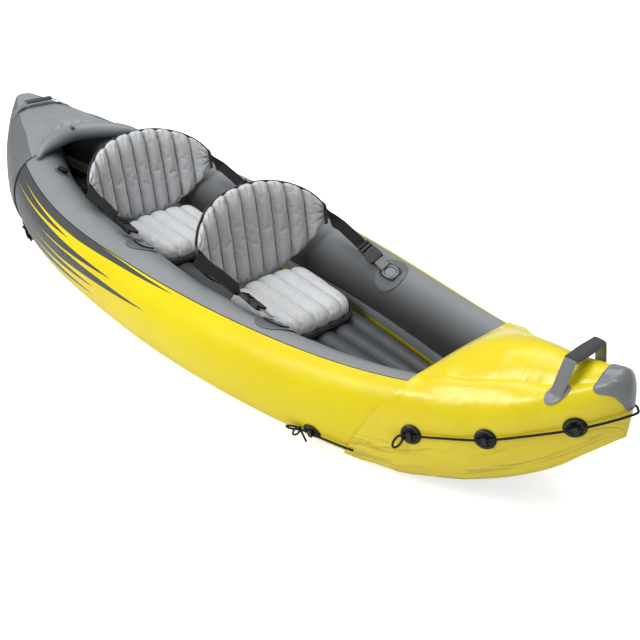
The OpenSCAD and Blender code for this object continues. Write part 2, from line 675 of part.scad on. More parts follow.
function plate_at(sx, side) = skin_at(sx + strap_reach, strap_angle, plate_base, side);
function plate_normal(sx, side) = skin_normal(sx + strap_reach, strap_angle, plate_base, side);
function strap_root(sx, side) = plate_at(sx, side)
    + (plate_h + weld_gap + webbing_t / 2) * plate_normal(sx, side);
function strap_head(sx, side) = let (p = backrest_mid(sx, 1, 0.5))
    [p.x, side * (backrest_w / 2 * shell_rim + running_gap + webbing_t / 2), p.z];
function strap_dir(sx, side) = unit(strap_head(sx, side) - strap_root(sx, side));
function strap_cross(sx, side) = unit(cross(plate_normal(sx, side), strap_dir(sx, side)));
function strap_up(sx, side) = cross(strap_dir(sx, side), strap_cross(sx, side));
strap_start = tab_length + housing_length + tongue_length + 3 * weld_gap;

module on_strap(sx, side, run) {
    dir = strap_dir(sx, side);
    seat_on(strap_root(sx, side) + run * dir, dir, strap_up(sx, side)) children();
}

module strap_patches(sx) {
    for (side = [-1, 1]) {
        skin_patch(sx + strap_reach, strap_angle, plate_patch_d / 2, plate_patch_gap, plate_base, side);
        seat_on(plate_at(sx, side), unit(plate_at(sx + 1, side) - plate_at(sx - 1, side)),
            plate_normal(sx, side))
            difference() {
                rounded_plate(plate_l, plate_w, plate_h, plate_w / 3);
                translate([0, 0, plate_h / 2])
                    rounded_plate(plate_l / 2, plate_w / 2.5, plate_h, 3);
            }
    }
}

module strap_tabs(sx) {
    for (side = [-1, 1])
        on_strap(sx, side, 0)
            translate([0, -webbing_w * 0.4, -webbing_t / 2])
                cube([tab_length, webbing_w * 0.8, webbing_t]);
}

// Side-release buckle: the housing is open at its mouth and at both sides
module buckle_housings(sx) {
    inner_w = buckle_w - 2 * buckle_wall;
    inner_h = buckle_h - 2 * buckle_wall;
    for (side = [-1, 1])
        on_strap(sx, side, tab_length + weld_gap + housing_length / 2)
            translate([0, 0, -buckle_h / 2])
                difference() {
                    rounded_plate(housing_length, buckle_w, buckle_h, 6);
                    translate([housing_length / 2 - prong_length - 2, -inner_w / 2, buckle_wall])
                        cube([prong_length + 4, inner_w, inner_h]);
                    translate([housing_length / 2 - prong_length * 0.7, -buckle_w, buckle_wall])
                        cube([prong_length * 0.45, 2 * buckle_w, inner_h]);
                }
}

// Tongue with two sprung arms, a centre guide and two ladder bars
module tongue(sx, side) {
    inner_w = buckle_w - 2 * buckle_wall - 2 * running_gap;
    inner_h = buckle_h - 2 * buckle_wall - 2 * running_gap;
    arm = 5;
    window_l = (tongue_length - 3 * ladder_bar) / 2;
    on_strap(sx, side, tab_length + housing_length + 2 * weld_gap + tongue_length / 2) {
        translate([0, 0, -buckle_h / 2])
            difference() {
                rounded_plate(tongue_length, buckle_w - 4, buckle_h, 4);
                for (x = [ladder_bar, window_l + 2 * ladder_bar])
                    translate([x - tongue_length / 2, -webbing_w / 2 - 1, -1])
                        cube([window_l, webbing_w + 2, buckle_h + 2]);
            }
        for (y = [-inner_w / 2, -arm / 2, inner_w / 2 - arm])
            translate([-tongue_length / 2 - prong_length, y, -inner_h / 2])
                cube([prong_length + 1, arm, inner_h]);
    }
}

// Turn about the strap that brings its width upright
function strap_turn(sx, side) = let (dir = strap_dir(sx, side), upright = [0, 0, 1] - dir.z * dir)
    atan2(upright * strap_up(sx, side), upright * strap_cross(sx, side)) - (side > 0 ? 180 : 0);

// Webbing twists from flat at the buckle to upright at the backrest, where it widens
module strap(sx, side) {
    root = strap_root(sx, side) + strap_start * strap_dir(sx, side);
    head = strap_head(sx, side);
    function grid(face) = [for (i = [0:strap_steps]) let (f = i / strap_steps,
        turn = strap_turn(sx, side) * f * f * (3 - 2 * f),
        w = cos(turn) * strap_cross(sx, side) + sin(turn) * strap_up(sx, side),
        n = cross(strap_dir(sx, side), w) * face * webbing_t / 2,
        half = w * mix(webbing_w, gusset_w, pow(f, 3)) / 2, p = mix(root, head, f))
        [p - half + n, p + half + n]];
    slab(grid(1), grid(-1));
}

front_x = seat_x;
rear_x = seat_x - seat_pitch;

module front_cushion() { color(pale_grey) cushion(front_x); }
module front_seat_base() { color(black) seat_base(front_x); }
module front_backrest() { color(pale_grey) backrest(front_x); }
module front_backrest_shell() { color(black) backrest_shell(front_x); }
module front_starboard_strap() { color(black) strap(front_x, -1); }
module front_port_strap() { color(black) strap(front_x, 1); }
module front_starboard_tongue() { color(black) tongue(front_x, -1); }
module front_port_tongue() { color(black) tongue(front_x, 1); }
module front_buckle_housings() { color(black) buckle_housings(front_x); }
module front_strap_tabs() { color(mid_grey) strap_tabs(front_x); }
module front_strap_patches() { color(dark_grey) strap_patches(front_x); }
module rear_cushion() { color(pale_grey) cushion(rear_x); }
module rear_seat_base() { color(black) seat_base(rear_x); }
module rear_backrest() { color(pale_grey) backrest(rear_x); }
module rear_backrest_shell() { color(black) backrest_shell(rear_x); }
module rear_starboard_strap() { color(black) strap(rear_x, -1); }
module rear_port_strap() { color(black) strap(rear_x, 1); }
module rear_starboard_tongue() { color(black) tongue(rear_x, -1); }
module rear_port_tongue() { color(black) tongue(rear_x, 1); }
module rear_buckle_housings() { color(black) buckle_housings(rear_x); }
module rear_strap_tabs() { color(mid_grey) strap_tabs(rear_x); }
module rear_strap_patches() { color(dark_grey) strap_patches(rear_x); }

// Valves: a welded flange with a threaded neck, and a fluted cap over the neck
valve_to_deck = 150;
valve_x = valve_to_deck - stern_corner_x;
valve_angle = 118;
valve_flange = 3;
valve_neck_d = 34;
valve_neck_h = 13;
cap_wall = 3;
cap_flutes = 18;
flute_d = 3;
floor_valve_inset = 222;
floor_valve_x = floor_stern + floor_valve_inset;
floor_valve_y = -50;
floor_valve_d = 46;

module valve_body(d) {
    neck_r = valve_neck_d / 2;
    rotate_extrude()
        polygon([[0, 0], [d / 2, 0], [d / 2, valve_flange - 1], [d / 2 - 1, valve_flange],
            [neck_r, valve_flange], [neck_r, valve_neck_h], [0, valve_neck_h]]);
}

module valve_cap() {
    neck_r = valve_neck_d / 2 + running_gap;
    r = neck_r + cap_wall;
    difference() {
        translate([0, 0, valve_flange + running_gap])
            cylinder(r = r, h = valve_neck_h - valve_flange + cap_wall);
        cylinder(r = neck_r, h = valve_neck_h + running_gap);
        for (i = [0:cap_flutes - 1])
            rotate(360 * i / cap_flutes)
                translate([r + flute_d * 0.2, 0, 0])
                    cylinder(d = flute_d, h = valve_neck_h + 3 * cap_wall, $fn = 24);
    }
}

module on_chamber(side) {
    function at(x) = skin_at(x, valve_angle, patch_gap, side);
    seat_on(at(valve_x), unit(at(valve_x + 1) - at(valve_x - 1)),
        skin_normal(valve_x, valve_angle, patch_gap, side))
        children();
}

module on_floor() {
    function at(x) = [x, floor_valve_y, floor_crest(x) + patch_gap];
    seat_on(at(floor_valve_x), unit(at(floor_valve_x + 1) - at(floor_valve_x - 1)), [0, 0, 1]) children();
}

module starboard_valve() { color(dark_grey) on_chamber(-1) valve_body(valve_d); }
module starboard_valve_cap() { color(black) on_chamber(-1) valve_cap(); }
module port_valve() { color(dark_grey) on_chamber(1) valve_body(valve_d); }
module port_valve_cap() { color(black) on_chamber(1) valve_cap(); }
module floor_valve() { color(dark_grey) on_floor() valve_body(floor_valve_d); }
module floor_valve_cap() { color(black) on_floor() valve_cap(); }

// Small push-in valve on the cowl's upper face
cowl_valve_t = -0.12;
cowl_valve_tilt = 35;
cowl_valve_d = 22;
plug_d = 12;
plug_h = 4;
cowl_flange = 2;

module on_cowl() {
    p = cowl_at(cowl_valve_t);
    translate(p)
        rotate([0, cowl_valve_tilt, 0])
            translate([0, 0, cowl_d / 2 + weld_gap])
                children();
}

module cowl_valve() {
    color(mid_grey)
        on_cowl()
            rotate_extrude()
                polygon([[0, 0], [cowl_valve_d / 2, 0], [cowl_valve_d / 2, cowl_flange],
                    [plug_d / 2 + 2, 2 * cowl_flange], [0, 2 * cowl_flange]]);
}

module cowl_valve_plug() {
    color(dark_grey)
        on_cowl()
            translate([0, 0, 2 * cowl_flange + weld_gap])
                rotate_extrude()
                    polygon([[0, 0], [plug_d / 2, 0], [plug_d / 2, plug_h - 1], [plug_d / 2 - 1, plug_h],
                        [0, plug_h]]);
}

// Skeg in a slotted shoe under the bow
skeg_inset = 290;
skeg_x = hull_length / 2 - skeg_inset;
skeg_t = 5;
shoe_wall = 3;
shoe_w = 46;
shoe_margin = 18;
foot_w = 18;
foot_t = 4;
rail_w = 5;
lip_t = 2.5;
ground_gap = 2;

skeg_along = unit([2, 0, keel_z(skeg_x + 1) - keel_z(skeg_x - 1)]);
skeg_down = [skeg_along.z, 0, -skeg_along.x];
shoe_rows = 10;

module on_keel() {
    seat_on([skeg_x, 0, keel_z(skeg_x)] + weld_gap * skeg_down, skeg_along, skeg_down) children();
}

// The shoe's upper side follows the keel, its under side is flat between rounded ends
module skeg_shoe() {
    l = skeg_length + 2 * shoe_margin;
    slot = foot_w + 2 * running_gap;
    deep = foot_t + 2 * running_gap;
    function row(top, k) = let (x = skeg_x + k * l / 2 * skeg_along.x,
        half = shoe_w / 2 * sqrt(1 - 0.8 * pow(k, 8)),
        flat_z = keel_z(skeg_x) + k * l / 2 * skeg_along.z + (weld_gap + shoe_wall) * skeg_down.z,
        z = top ? keel_z(x) - weld_gap : flat_z)
        [for (y = [-half, half]) [x, y, z]];
    color(black) {
        slab([for (i = [0:shoe_rows]) row(true, 2 * i / shoe_rows - 1)],
            [for (i = [0:shoe_rows]) row(false, 2 * i / shoe_rows - 1)]);
        on_keel()
            for (i = [-1, 1]) {
                translate([-skeg_length / 2, i * (slot + rail_w) / 2 - rail_w / 2, shoe_wall - 0.5])
                    cube([skeg_length, rail_w, deep + lip_t + 0.5]);
                translate([-skeg_length / 2, i * (slot / 2 - rail_w / 4) - rail_w / 4, shoe_wall + deep])
                    cube([skeg_length, rail_w / 2, lip_t]);
            }
    }
}

module skeg() {
    foot_z = shoe_wall + running_gap;
    color(black)
        intersection() {
            on_keel()
                union() {
                    translate([-skeg_length / 2, -foot_w / 2, foot_z])
                        cube([skeg_length, foot_w, foot_t]);
                    translate([0, skeg_t / 2, foot_z])
                        rotate([90, 0, 0])
                            linear_extrude(skeg_t)
                                polygon([[-skeg_length / 2, 0], [skeg_length / 2, 0],
                                    [skeg_length * 0.38, skeg_depth * 0.55],
                                    [skeg_length * 0.15, skeg_depth * 0.9],
                                    [-skeg_length * 0.1, skeg_depth],
                                    [-skeg_length * 0.42, skeg_depth * 0.8]]);
                }
            translate([skeg_x - skeg_length, -foot_w, ground_gap])
                cube([2 * skeg_length, 2 * foot_w, bow_stem_z]);
        }
}

starboard_chamber();
port_chamber();
bottom_sheet();
beam_floor();
bow_cover();
stern_cover();
stern_cowl();
nose_patch();
bow_handle_discs();
bow_handle_strap();
bow_handle_grip();
stern_handle_discs();
stern_handle_strap();
stern_handle_grip();
bow_line_anchors();
stern_line_anchors();
bow_grab_line();
stern_grab_line();
bow_tie_anchors();
stern_tie_anchors();
bow_tie_cords();
stern_tie_cords();
front_cushion();
front_seat_base();
front_backrest();
front_backrest_shell();
front_starboard_strap();
front_port_strap();
front_starboard_tongue();
front_port_tongue();
front_buckle_housings();
front_strap_tabs();
front_strap_patches();
rear_cushion();
rear_seat_base();
rear_backrest();
rear_backrest_shell();
rear_starboard_strap();
rear_port_strap();
rear_starboard_tongue();
rear_port_tongue();
rear_buckle_housings();
rear_strap_tabs();
rear_strap_patches();
starboard_valve();
starboard_valve_cap();
port_valve();
port_valve_cap();
floor_valve();
floor_valve_cap();
cowl_valve();
cowl_valve_plug();
skeg_shoe();
skeg();
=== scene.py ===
import math

import bpy
import numpy as np
from mathutils import Matrix


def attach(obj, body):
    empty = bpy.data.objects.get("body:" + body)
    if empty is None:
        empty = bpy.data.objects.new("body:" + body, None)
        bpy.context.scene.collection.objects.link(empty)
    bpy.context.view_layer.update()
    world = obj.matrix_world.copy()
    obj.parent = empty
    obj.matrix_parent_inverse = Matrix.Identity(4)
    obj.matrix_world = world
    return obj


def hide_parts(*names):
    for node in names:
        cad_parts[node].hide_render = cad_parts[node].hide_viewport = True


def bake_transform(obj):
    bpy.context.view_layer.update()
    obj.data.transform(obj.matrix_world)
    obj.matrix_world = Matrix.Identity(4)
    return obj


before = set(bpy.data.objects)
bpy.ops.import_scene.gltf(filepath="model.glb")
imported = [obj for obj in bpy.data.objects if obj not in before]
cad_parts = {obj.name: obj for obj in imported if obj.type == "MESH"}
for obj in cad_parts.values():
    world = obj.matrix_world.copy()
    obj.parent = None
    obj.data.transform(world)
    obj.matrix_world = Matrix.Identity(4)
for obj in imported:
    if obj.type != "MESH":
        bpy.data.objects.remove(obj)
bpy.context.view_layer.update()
print("frame loaded,", len(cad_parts), "nodes")

scene = bpy.context.scene
scene.view_settings.view_transform = "Standard"

# Camera, from its place and its three directions
shot = {
    "place": (2.0895, -1.4338, 1.4738),
    "back": (0.6223, -0.5751, 0.5310),
    "up": (-0.4042, 0.3449, 0.8471),
    "lens": 44.13,
}


def unit(v):
    v = np.asarray(v, float)
    return v / np.linalg.norm(v, axis=-1, keepdims=True)


def placeCamera():
    back = unit(shot["back"])
    right = unit(np.cross(shot["up"], back))
    up = np.cross(back, right)
    data = bpy.data.cameras.new("camera")
    data.lens = shot["lens"]
    data.sensor_width = 36
    camera = bpy.data.objects.new("camera", data)
    scene.collection.objects.link(camera)
    turn = Matrix([list(row) for row in np.column_stack([right, up, back])]).to_4x4()
    camera.matrix_world = Matrix.Translation(shot["place"]) @ turn
    scene.camera = camera


placeCamera()


# Meshes from numpy grids: every piece is a closed skin
def quadStrip(a, b):  # quads between two runs of vertex numbers
    return np.stack([a[:-1], a[1:], b[1:], b[:-1]], axis=1)


def closedFaces(n, m, start, end):
    # rings of m points, n of them; an end is a flat cap, a zip of an upper and an under half, or a stem tip
    i, j = np.meshgrid(np.arange(n - 1), np.arange(m), indexing="ij")
    k = (j + 1) % m
    quads = np.stack([i * m + j, (i + 1) * m + j, (i + 1) * m + k, i * m + k], axis=-1).reshape(-1, 4)
    corners = np.stack([np.stack([i, j], -1), np.stack([i + 1, j], -1),
                        np.stack([i + 1, j + 1], -1), np.stack([i, j + 1], -1)], axis=2).reshape(-1, 4, 2)
    extra, ngons = [], []
    for kind, base, flip in ((start, 0, False), (end, (n - 1) * m, True)):
        ring = base + np.arange(m)
        half = m // 2
        if kind == "flat":
            ngons.append(ring[::-1] if flip else ring)
        if kind == "zip":
            faces = quadStrip(ring[:half], ring[::-1][:half])
            extra.append(faces[:, ::-1] if flip else faces)
        if kind == "tip":
            quarter = half // 2
            upper = quadStrip(ring[:quarter], ring[:half][::-1][:quarter])
            under = quadStrip(ring[half:half + quarter], ring[half:][::-1][:quarter])
            sill = np.array([[ring[0], ring[half - 1], ring[half], ring[m - 1]]])
            extra += [faces[:, ::-1] if flip else faces for faces in (upper, under, sill)]
    return quads, corners, extra, ngons


def windingVolume(points, quads):
    a, b, c, d = (points[quads[:, k]] for k in range(4))
    return np.einsum("ij,ij->", a, np.cross(b, c)) + np.einsum("ij,ij->", a, np.cross(c, d))


def makeMesh(name, grid, uv=None, start="flat", end="flat", sharp=None):
    # grid is n rings of m points; uv has one more column than the grid, because a ring closes on itself
    n, m = grid.shape[:2]
    points = grid.reshape(-1, 3)
    quads, corners, extra, ngons = closedFaces(n, m, start, end)
    faces = [quads] + extra
    if windingVolume(points, np.concatenate(faces)) < 0:
        faces = [f[:, ::-1] for f in faces]
        corners = corners[:, ::-1]
        ngons = [f[::-1] for f in ngons]
    flat = np.concatenate([f.ravel() for f in faces] + ngons).astype(np.int32)
    sizes = np.concatenate([np.full(sum(len(f) for f in faces), 4)] + [[len(f)] for f in ngons]).astype(np.int32)
    starts = np.concatenate([[0], np.cumsum(sizes)[:-1]]).astype(np.int32)
    mesh = bpy.data.meshes.new(name)
    mesh.vertices.add(len(points))
    mesh.vertices.foreach_set("co", points.astype(np.float32).ravel())
    mesh.loops.add(len(flat))
    mesh.loops.foreach_set("vertex_index", flat)
    mesh.polygons.add(len(starts))
    mesh.polygons.foreach_set("loop_start", starts)
    mesh.update(calc_edges=True)
    mesh.validate()
    mesh.polygons.foreach_set("use_smooth", np.ones(len(mesh.polygons), bool))
    if uv is not None:
        loops = np.zeros((len(flat), 2), np.float32)
        loops[:len(quads) * 4] = uv[corners[..., 0], corners[..., 1]].reshape(-1, 2)
        rest = flat[len(quads) * 4:]
        loops[len(quads) * 4:] = uv[rest // m, rest % m]
        layer = mesh.uv_layers.new(name="skin")
        layer.data.foreach_set("uv", loops.ravel())
    if sharp:
        mesh.set_sharp_from_angle(angle=math.radians(sharp))
    return mesh


def addPiece(name, mesh, material, body=None, nodes=()):
    if material:
        mesh.materials.append(material)
    piece = bpy.data.objects.new(name, mesh)
    scene.collection.objects.link(piece)
    if body:
        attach(piece, body)
    if nodes:
        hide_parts(*nodes)
    return piece


def joinMeshes(name, meshes):  # several closed skins as one mesh, their layers kept
    made = [bpy.data.objects.new(name, mesh) for mesh in meshes]
    for piece in made:
        scene.collection.objects.link(piece)
    with bpy.context.temp_override(active_object=made[0], selected_editable_objects=made, selected_objects=made):
        bpy.ops.object.join()
    mesh = made[0].data
    bpy.data.objects.remove(made[0])
    return mesh


def sheetRings(upper, under):  # a sheet with an upper and an under face, row by row, as closed rings
    return np.concatenate([upper, under[:, ::-1]], axis=1)


def sheetUv(u, v):  # the same for its two coordinates, with the closing column
    both = np.stack([np.concatenate([u, u[:, ::-1]], 1), np.concatenate([v, v[:, ::-1]], 1)], -1)
    return np.concatenate([both, both[:, :1]], axis=1)


def mix(a, b, f):
    return a + (b - a) * f


def smooth(low, high, x):
    f = np.clip((x - low) / (high - low), 0, 1)
    return f * f * (3 - 2 * f)


def ripple(u, v, seed):
    # value noise: hashed numbers on a unit lattice, joined by a smooth step, from 0 to 1
    iu, iv = np.floor(u), np.floor(v)
    fu, fv = smooth(0, 1, u - iu), smooth(0, 1, v - iv)

    def corner(a, b):
        h = np.sin(a * 127.1 + b * 311.7 + seed * 74.7) * 43758.5453
        return h - np.floor(h)

    low = mix(corner(iu, iv), corner(iu + 1, iv), fu)
    high = mix(corner(iu, iv + 1), corner(iu + 1, iv + 1), fu)
    return mix(low, high, fv)


def creases(u, v, seed, power=3):  # sharp ridges where the noise crosses its middle
    return (1 - np.abs(2 * mix(ripple(u, v, seed), ripple(2.1 * u, 2.1 * v, seed + 5), 0.3) - 1)) ** power


# Hull lines in metres, bow value first and stern value second
hull = {
    "halfLength": 1.5551, "halfBeam": 0.453, "tubeRadius": 0.131, "tubeGap": 0.0004,
    "sideHeight": 0.28, "rise": (0.215, 0.13), "sheerStart": 0.2, "sheerPower": (4, 1.8),
    "stemZ": (0.327, 0.338), "stemRound": (0.055, 0.055), "bottom": 0.0034,
    "planPower": (1.9, 2.58), "planFullness": (0.72, 0.85), "taper": (0.44, 0.0),
    "keelRun": (0.746, 0.866), "keelPower": (3.3, 2.6), "keelLift": (0.02, 0.0),
}


def byEnd(x, key):
    return np.where(np.asarray(x) >= 0, hull[key][0], hull[key][1])


def reach(d):
    return hull["halfLength"] + d


def shareOf(x, d):
    return np.minimum(1, np.abs(x) / reach(d))


def beamAt(x, d=0.0):  # half beam: a superellipse of the share of the half length
    return (hull["halfBeam"] + d) * (1 - shareOf(x, d) ** byEnd(x, "planPower")) ** byEnd(x, "planFullness")


def tubeR(x, d=0.0):
    slim = hull["tubeRadius"] * (1 - byEnd(x, "taper") * shareOf(x, d))
    return np.minimum(slim + d, (beamAt(x, d) - hull["tubeGap"]) / 2)


def tubeY(x, d=0.0):
    return beamAt(x, d) - tubeR(x, d)


def crownZ(x, d=0.0):  # sheer that rises by a power of the run, closed to the stem by a quarter circle
    run = np.maximum(0, (np.abs(x) - hull["sheerStart"]) / (hull["halfLength"] - hull["sheerStart"]))
    sheer = hull["sideHeight"] + byEnd(x, "rise") * run ** byEnd(x, "sheerPower")
    near = np.clip((np.abs(x) - reach(d)) / byEnd(x, "stemRound") + 1, 0, 1)
    stem = byEnd(x, "stemZ")
    return stem + (sheer + d - stem) * np.sqrt(1 - near ** 2)


def keelZ(x, d=0.0):
    start = hull["halfLength"] - byEnd(x, "keelRun")
    run = np.clip((np.abs(x) - start) / (reach(d) - start), 0, 1)
    lift = byEnd(x, "keelLift")
    return lift * shareOf(x, d) ** 1.5 + (byEnd(x, "stemZ") - lift) * run ** byEnd(x, "keelPower")


def footZ(x, d=0.0):
    return np.minimum(keelZ(x, d) + hull["bottom"] - d, crownZ(x, d) - 0.002)


def midZ(x, d=0.0):
    return (crownZ(x, d) + footZ(x, d)) / 2


def halfZ(x, d=0.0):
    return (crownZ(x, d) - footZ(x, d)) / 2


def skinAt(x, a, d, side):  # ellipse of the tube at station x, angle a from its outer side, grown by d
    x, a = np.broadcast_arrays(np.asarray(x, float), np.asarray(a, float))
    return np.stack([x, side * (tubeY(x, d) + tubeR(x, d) * np.cos(a)), midZ(x, d) + halfZ(x, d) * np.sin(a)], -1)


def skinNormal(x, a, d, side):
    e = 0.001
    dx = skinAt(x + e, a, d, side) - skinAt(x - e, a, d, side)
    da = skinAt(x, a + e, d, side) - skinAt(x, a - e, d, side)
    return -side * unit(np.cross(dx, da))


def chord(x, z, d=0.0):
    return np.sqrt(np.maximum(0, 1 - ((z - midZ(x, d)) / halfZ(x, d)) ** 2))


def sideAt(x, z, d, side):
    x, z = np.broadcast_arrays(np.asarray(x, float), np.asarray(z, float))
    return np.stack([x, side * (tubeY(x, d) + tubeR(x, d) * chord(x, z, d)), z], -1)


def sideNormal(x, z, d, side):
    e = 0.001
    dz = sideAt(x, z + e, d, side) - sideAt(x, z - e, d, side)
    dx = sideAt(x + e, z, d, side) - sideAt(x - e, z, d, side)
    return side * unit(np.cross(dz, dx))


def topZ(x, y, d=0.0):
    return midZ(x, d) + halfZ(x, d) * np.sqrt(np.maximum(0, 1 - ((np.abs(y) - tubeY(x, d)) / tubeR(x, d)) ** 2))


def stemStations(end, d, steps):
    k = np.linspace(0, math.radians(86), steps + 1)
    return reach(d) - hull["stemRound"][end] * (1 - np.sin(k))


deg = math.pi / 180


# Shader helpers
def tint(code):  # sRGB hex to the linear colour a shader takes
    c = np.array([int(code[k:k + 2], 16) for k in (1, 3, 5)]) / 255
    return (*np.where(c <= 0.04045, c / 12.92, ((c + 0.055) / 1.055) ** 2.4), 1.0)


def addNode(tree, kind, values=None, **settings):
    made = tree.nodes.new(kind)
    for key, value in settings.items():
        setattr(made, key, value)
    for key, value in (values or {}).items():
        if isinstance(value, bpy.types.NodeSocket):
            tree.links.new(value, made.inputs[key])
        else:
            made.inputs[key].default_value = value
    return made


def calc(tree, operation, *values, clamp=False):
    return addNode(tree, "ShaderNodeMath", dict(enumerate(values)), operation=operation, use_clamp=clamp).outputs[0]


def mixColour(tree, factor, a, b):
    return addNode(tree, "ShaderNodeMix", {0: factor, 6: a, 7: b}, data_type="RGBA").outputs[2]


def ramp(tree, value, low, high, toLow=0.0, toHigh=1.0):
    return addNode(tree, "ShaderNodeMapRange", {0: value, 1: low, 2: high, 3: toLow, 4: toHigh},
                   interpolation_type="SMOOTHSTEP").outputs[0]


def noiseAt(tree, vector, scale, detail=2.0, rough=0.5):
    return addNode(tree, "ShaderNodeTexNoise", {"Vector": vector, "Scale": scale, "Detail": detail,
                                                "Roughness": rough}).outputs[0]


def newGroup(name, inputs, outputs):
    tree = bpy.data.node_groups.new(name, "ShaderNodeTree")
    for label, kind, value in inputs:
        socket = tree.interface.new_socket(name=label, in_out="INPUT", socket_type="NodeSocket" + kind)
        if value is not None:
            socket.default_value = value
    for label, kind in outputs:
        tree.interface.new_socket(name=label, in_out="OUTPUT", socket_type="NodeSocket" + kind)
    return tree, tree.nodes.new("NodeGroupInput").outputs, tree.nodes.new("NodeGroupOutput").inputs


def makeVinylGroup():
    # coated fabric: fine pebble, small and slow slack ripples, a slow change of tone, and scuffs
    tree, given, out = newGroup("coatedFabric", [("Vector", "Vector", None), ("Grain", "Float", 1.0),
                                                 ("Slack", "Float", 1.0)],
                                [("Height", "Float"), ("Tone", "Float"), ("Scuff", "Float")])
    pebble = noiseAt(tree, given["Vector"], 850, 2, 0.6)
    slack = noiseAt(tree, given["Vector"], 9, 3, 0.55)
    fine = noiseAt(tree, given["Vector"], 60, 3, 0.6)
    height = calc(tree, "MULTIPLY_ADD", pebble, calc(tree, "MULTIPLY", given["Grain"], 0.00006),
                  calc(tree, "MULTIPLY", slack, calc(tree, "MULTIPLY", given["Slack"], 0.006)))
    height = calc(tree, "MULTIPLY_ADD", fine, calc(tree, "MULTIPLY", given["Slack"], 0.0005), height)
    tree.links.new(height, out["Height"])
    tree.links.new(noiseAt(tree, given["Vector"], 3.3, 4, 0.6), out["Tone"])
    tree.links.new(ramp(tree, noiseAt(tree, given["Vector"], 38, 6, 0.75), 0.56, 0.72), out["Scuff"])
    return tree


def makeWeaveGroup():
    # plain weave: warp and weft cords as two sines that pass over each other by turns
    tree, given, out = newGroup("webbingWeave", [("Along", "Float", 0.0), ("Across", "Float", 0.0),
                                                 ("Pitch", "Float", 0.0016)],
                                [("Height", "Float"), ("Shade", "Float")])
    u = calc(tree, "DIVIDE", given["Along"], given["Pitch"])
    v = calc(tree, "DIVIDE", given["Across"], given["Pitch"])
    su = calc(tree, "ABSOLUTE", calc(tree, "SINE", calc(tree, "MULTIPLY", u, math.pi)))
    sv = calc(tree, "ABSOLUTE", calc(tree, "SINE", calc(tree, "MULTIPLY", v, math.pi)))
    check = calc(tree, "PINGPONG", calc(tree, "ADD", calc(tree, "FLOOR", u), calc(tree, "FLOOR", v)), 1.0)
    over = addNode(tree, "ShaderNodeMix", {0: check, 2: su, 3: sv}, data_type="FLOAT").outputs[0]
    tree.links.new(over, out["Height"])
    tree.links.new(calc(tree, "MULTIPLY_ADD", over, 0.5, 0.5), out["Shade"])
    return tree


def makeCrinkleGroup():
    # long thin creases along the first coordinate, in patches
    tree, given, out = newGroup("crinkles", [("Along", "Float", 0.0), ("Across", "Float", 0.0)], [("Mask", "Float")])
    place = addNode(tree, "ShaderNodeCombineXYZ", {0: given["Along"], 1: given["Across"]}).outputs[0]
    ridge = calc(tree, "ABSOLUTE", calc(tree, "SUBTRACT", noiseAt(tree, place, 1.0, 2, 0.5), 0.5))
    patch = ramp(tree, noiseAt(tree, place, 0.45, 1, 0.5), 0.5, 0.66)
    tree.links.new(calc(tree, "MULTIPLY", ramp(tree, ridge, 0.06, 0.0), patch), out["Mask"])
    return tree


def makeStitchGroup():
    # one row of stitches: dashes along a line at zero distance
    tree, given, out = newGroup("stitchRow", [("Along", "Float", 0.0), ("Distance", "Float", 1.0),
                                              ("Length", "Float", 0.005), ("Half", "Float", 0.0007)],
                                [("Mask", "Float")])
    dash = calc(tree, "FRACT", calc(tree, "DIVIDE", given["Along"], given["Length"]))
    on = ramp(tree, calc(tree, "ABSOLUTE", calc(tree, "SUBTRACT", dash, 0.5)), 0.36, 0.28)
    near = ramp(tree, calc(tree, "DIVIDE", calc(tree, "ABSOLUTE", given["Distance"]), given["Half"]), 1.2, 0.7)
    tree.links.new(calc(tree, "MULTIPLY", on, near), out["Mask"])
    return tree


vinylGroup, weaveGroup, stitchGroup = makeVinylGroup(), makeWeaveGroup(), makeStitchGroup()
crinkleGroup = makeCrinkleGroup()


def newMaterial(name, **sockets):
    material = bpy.data.materials.new(name)
    material.use_nodes = True
    tree = material.node_tree
    shader = tree.nodes["Principled BSDF"]
    for key, value in sockets.items():
        shader.inputs[key.replace("_", " ")].default_value = value
    return material, tree, shader


def useGroup(tree, group, **values):
    return addNode(tree, "ShaderNodeGroup", values, node_tree=group).outputs


def bump(tree, shader, height, strength=1.0, distance=1.0):
    made = addNode(tree, "ShaderNodeBump", {"Strength": strength, "Distance": distance, "Height": height})
    tree.links.new(made.outputs[0], shader.inputs["Normal"])


def skinUv(tree):
    parts = addNode(tree, "ShaderNodeSeparateXYZ", {0: addNode(tree, "ShaderNodeUVMap", uv_map="skin").outputs[0]})
    return parts.outputs[0], parts.outputs[1]


def objectPlace(tree):
    return addNode(tree, "ShaderNodeTexCoord").outputs["Object"]


def coatedSkin(name, rough, grain, slack, scuff=0.08, **sockets):
    # coated fabric with duller scuffs; gives the bump height and a mixer of a deep and a plain tone
    material, tree, shader = newMaterial(name, **sockets)
    fabric = useGroup(tree, vinylGroup, Vector=objectPlace(tree), Grain=grain, Slack=slack)
    tone = ramp(tree, fabric["Tone"], 0.25, 0.75)
    tree.links.new(calc(tree, "MULTIPLY_ADD", fabric["Scuff"], scuff, rough), shader.inputs["Roughness"])

    def toned(deep, plain):
        return mixColour(tree, tone, tint(deep), tint(plain))

    return material, tree, shader, fabric["Height"], toned


def vinyl(name, colour, deep, rough, grain=1.0, slack=1.0, coat=0.0):  # coated fabric of one colour
    material, tree, shader, height, toned = coatedSkin(name, rough, grain, slack, Coat_Weight=coat, Coat_Roughness=0.25)
    tree.links.new(toned(deep, colour), shader.inputs["Base Color"])
    bump(tree, shader, height)
    return material


def skinAngle(tree):  # station in metres, and angle from the outer side in degrees and in turns
    u, v = skinUv(tree)
    return u, calc(tree, "MULTIPLY", v, 360.0), v


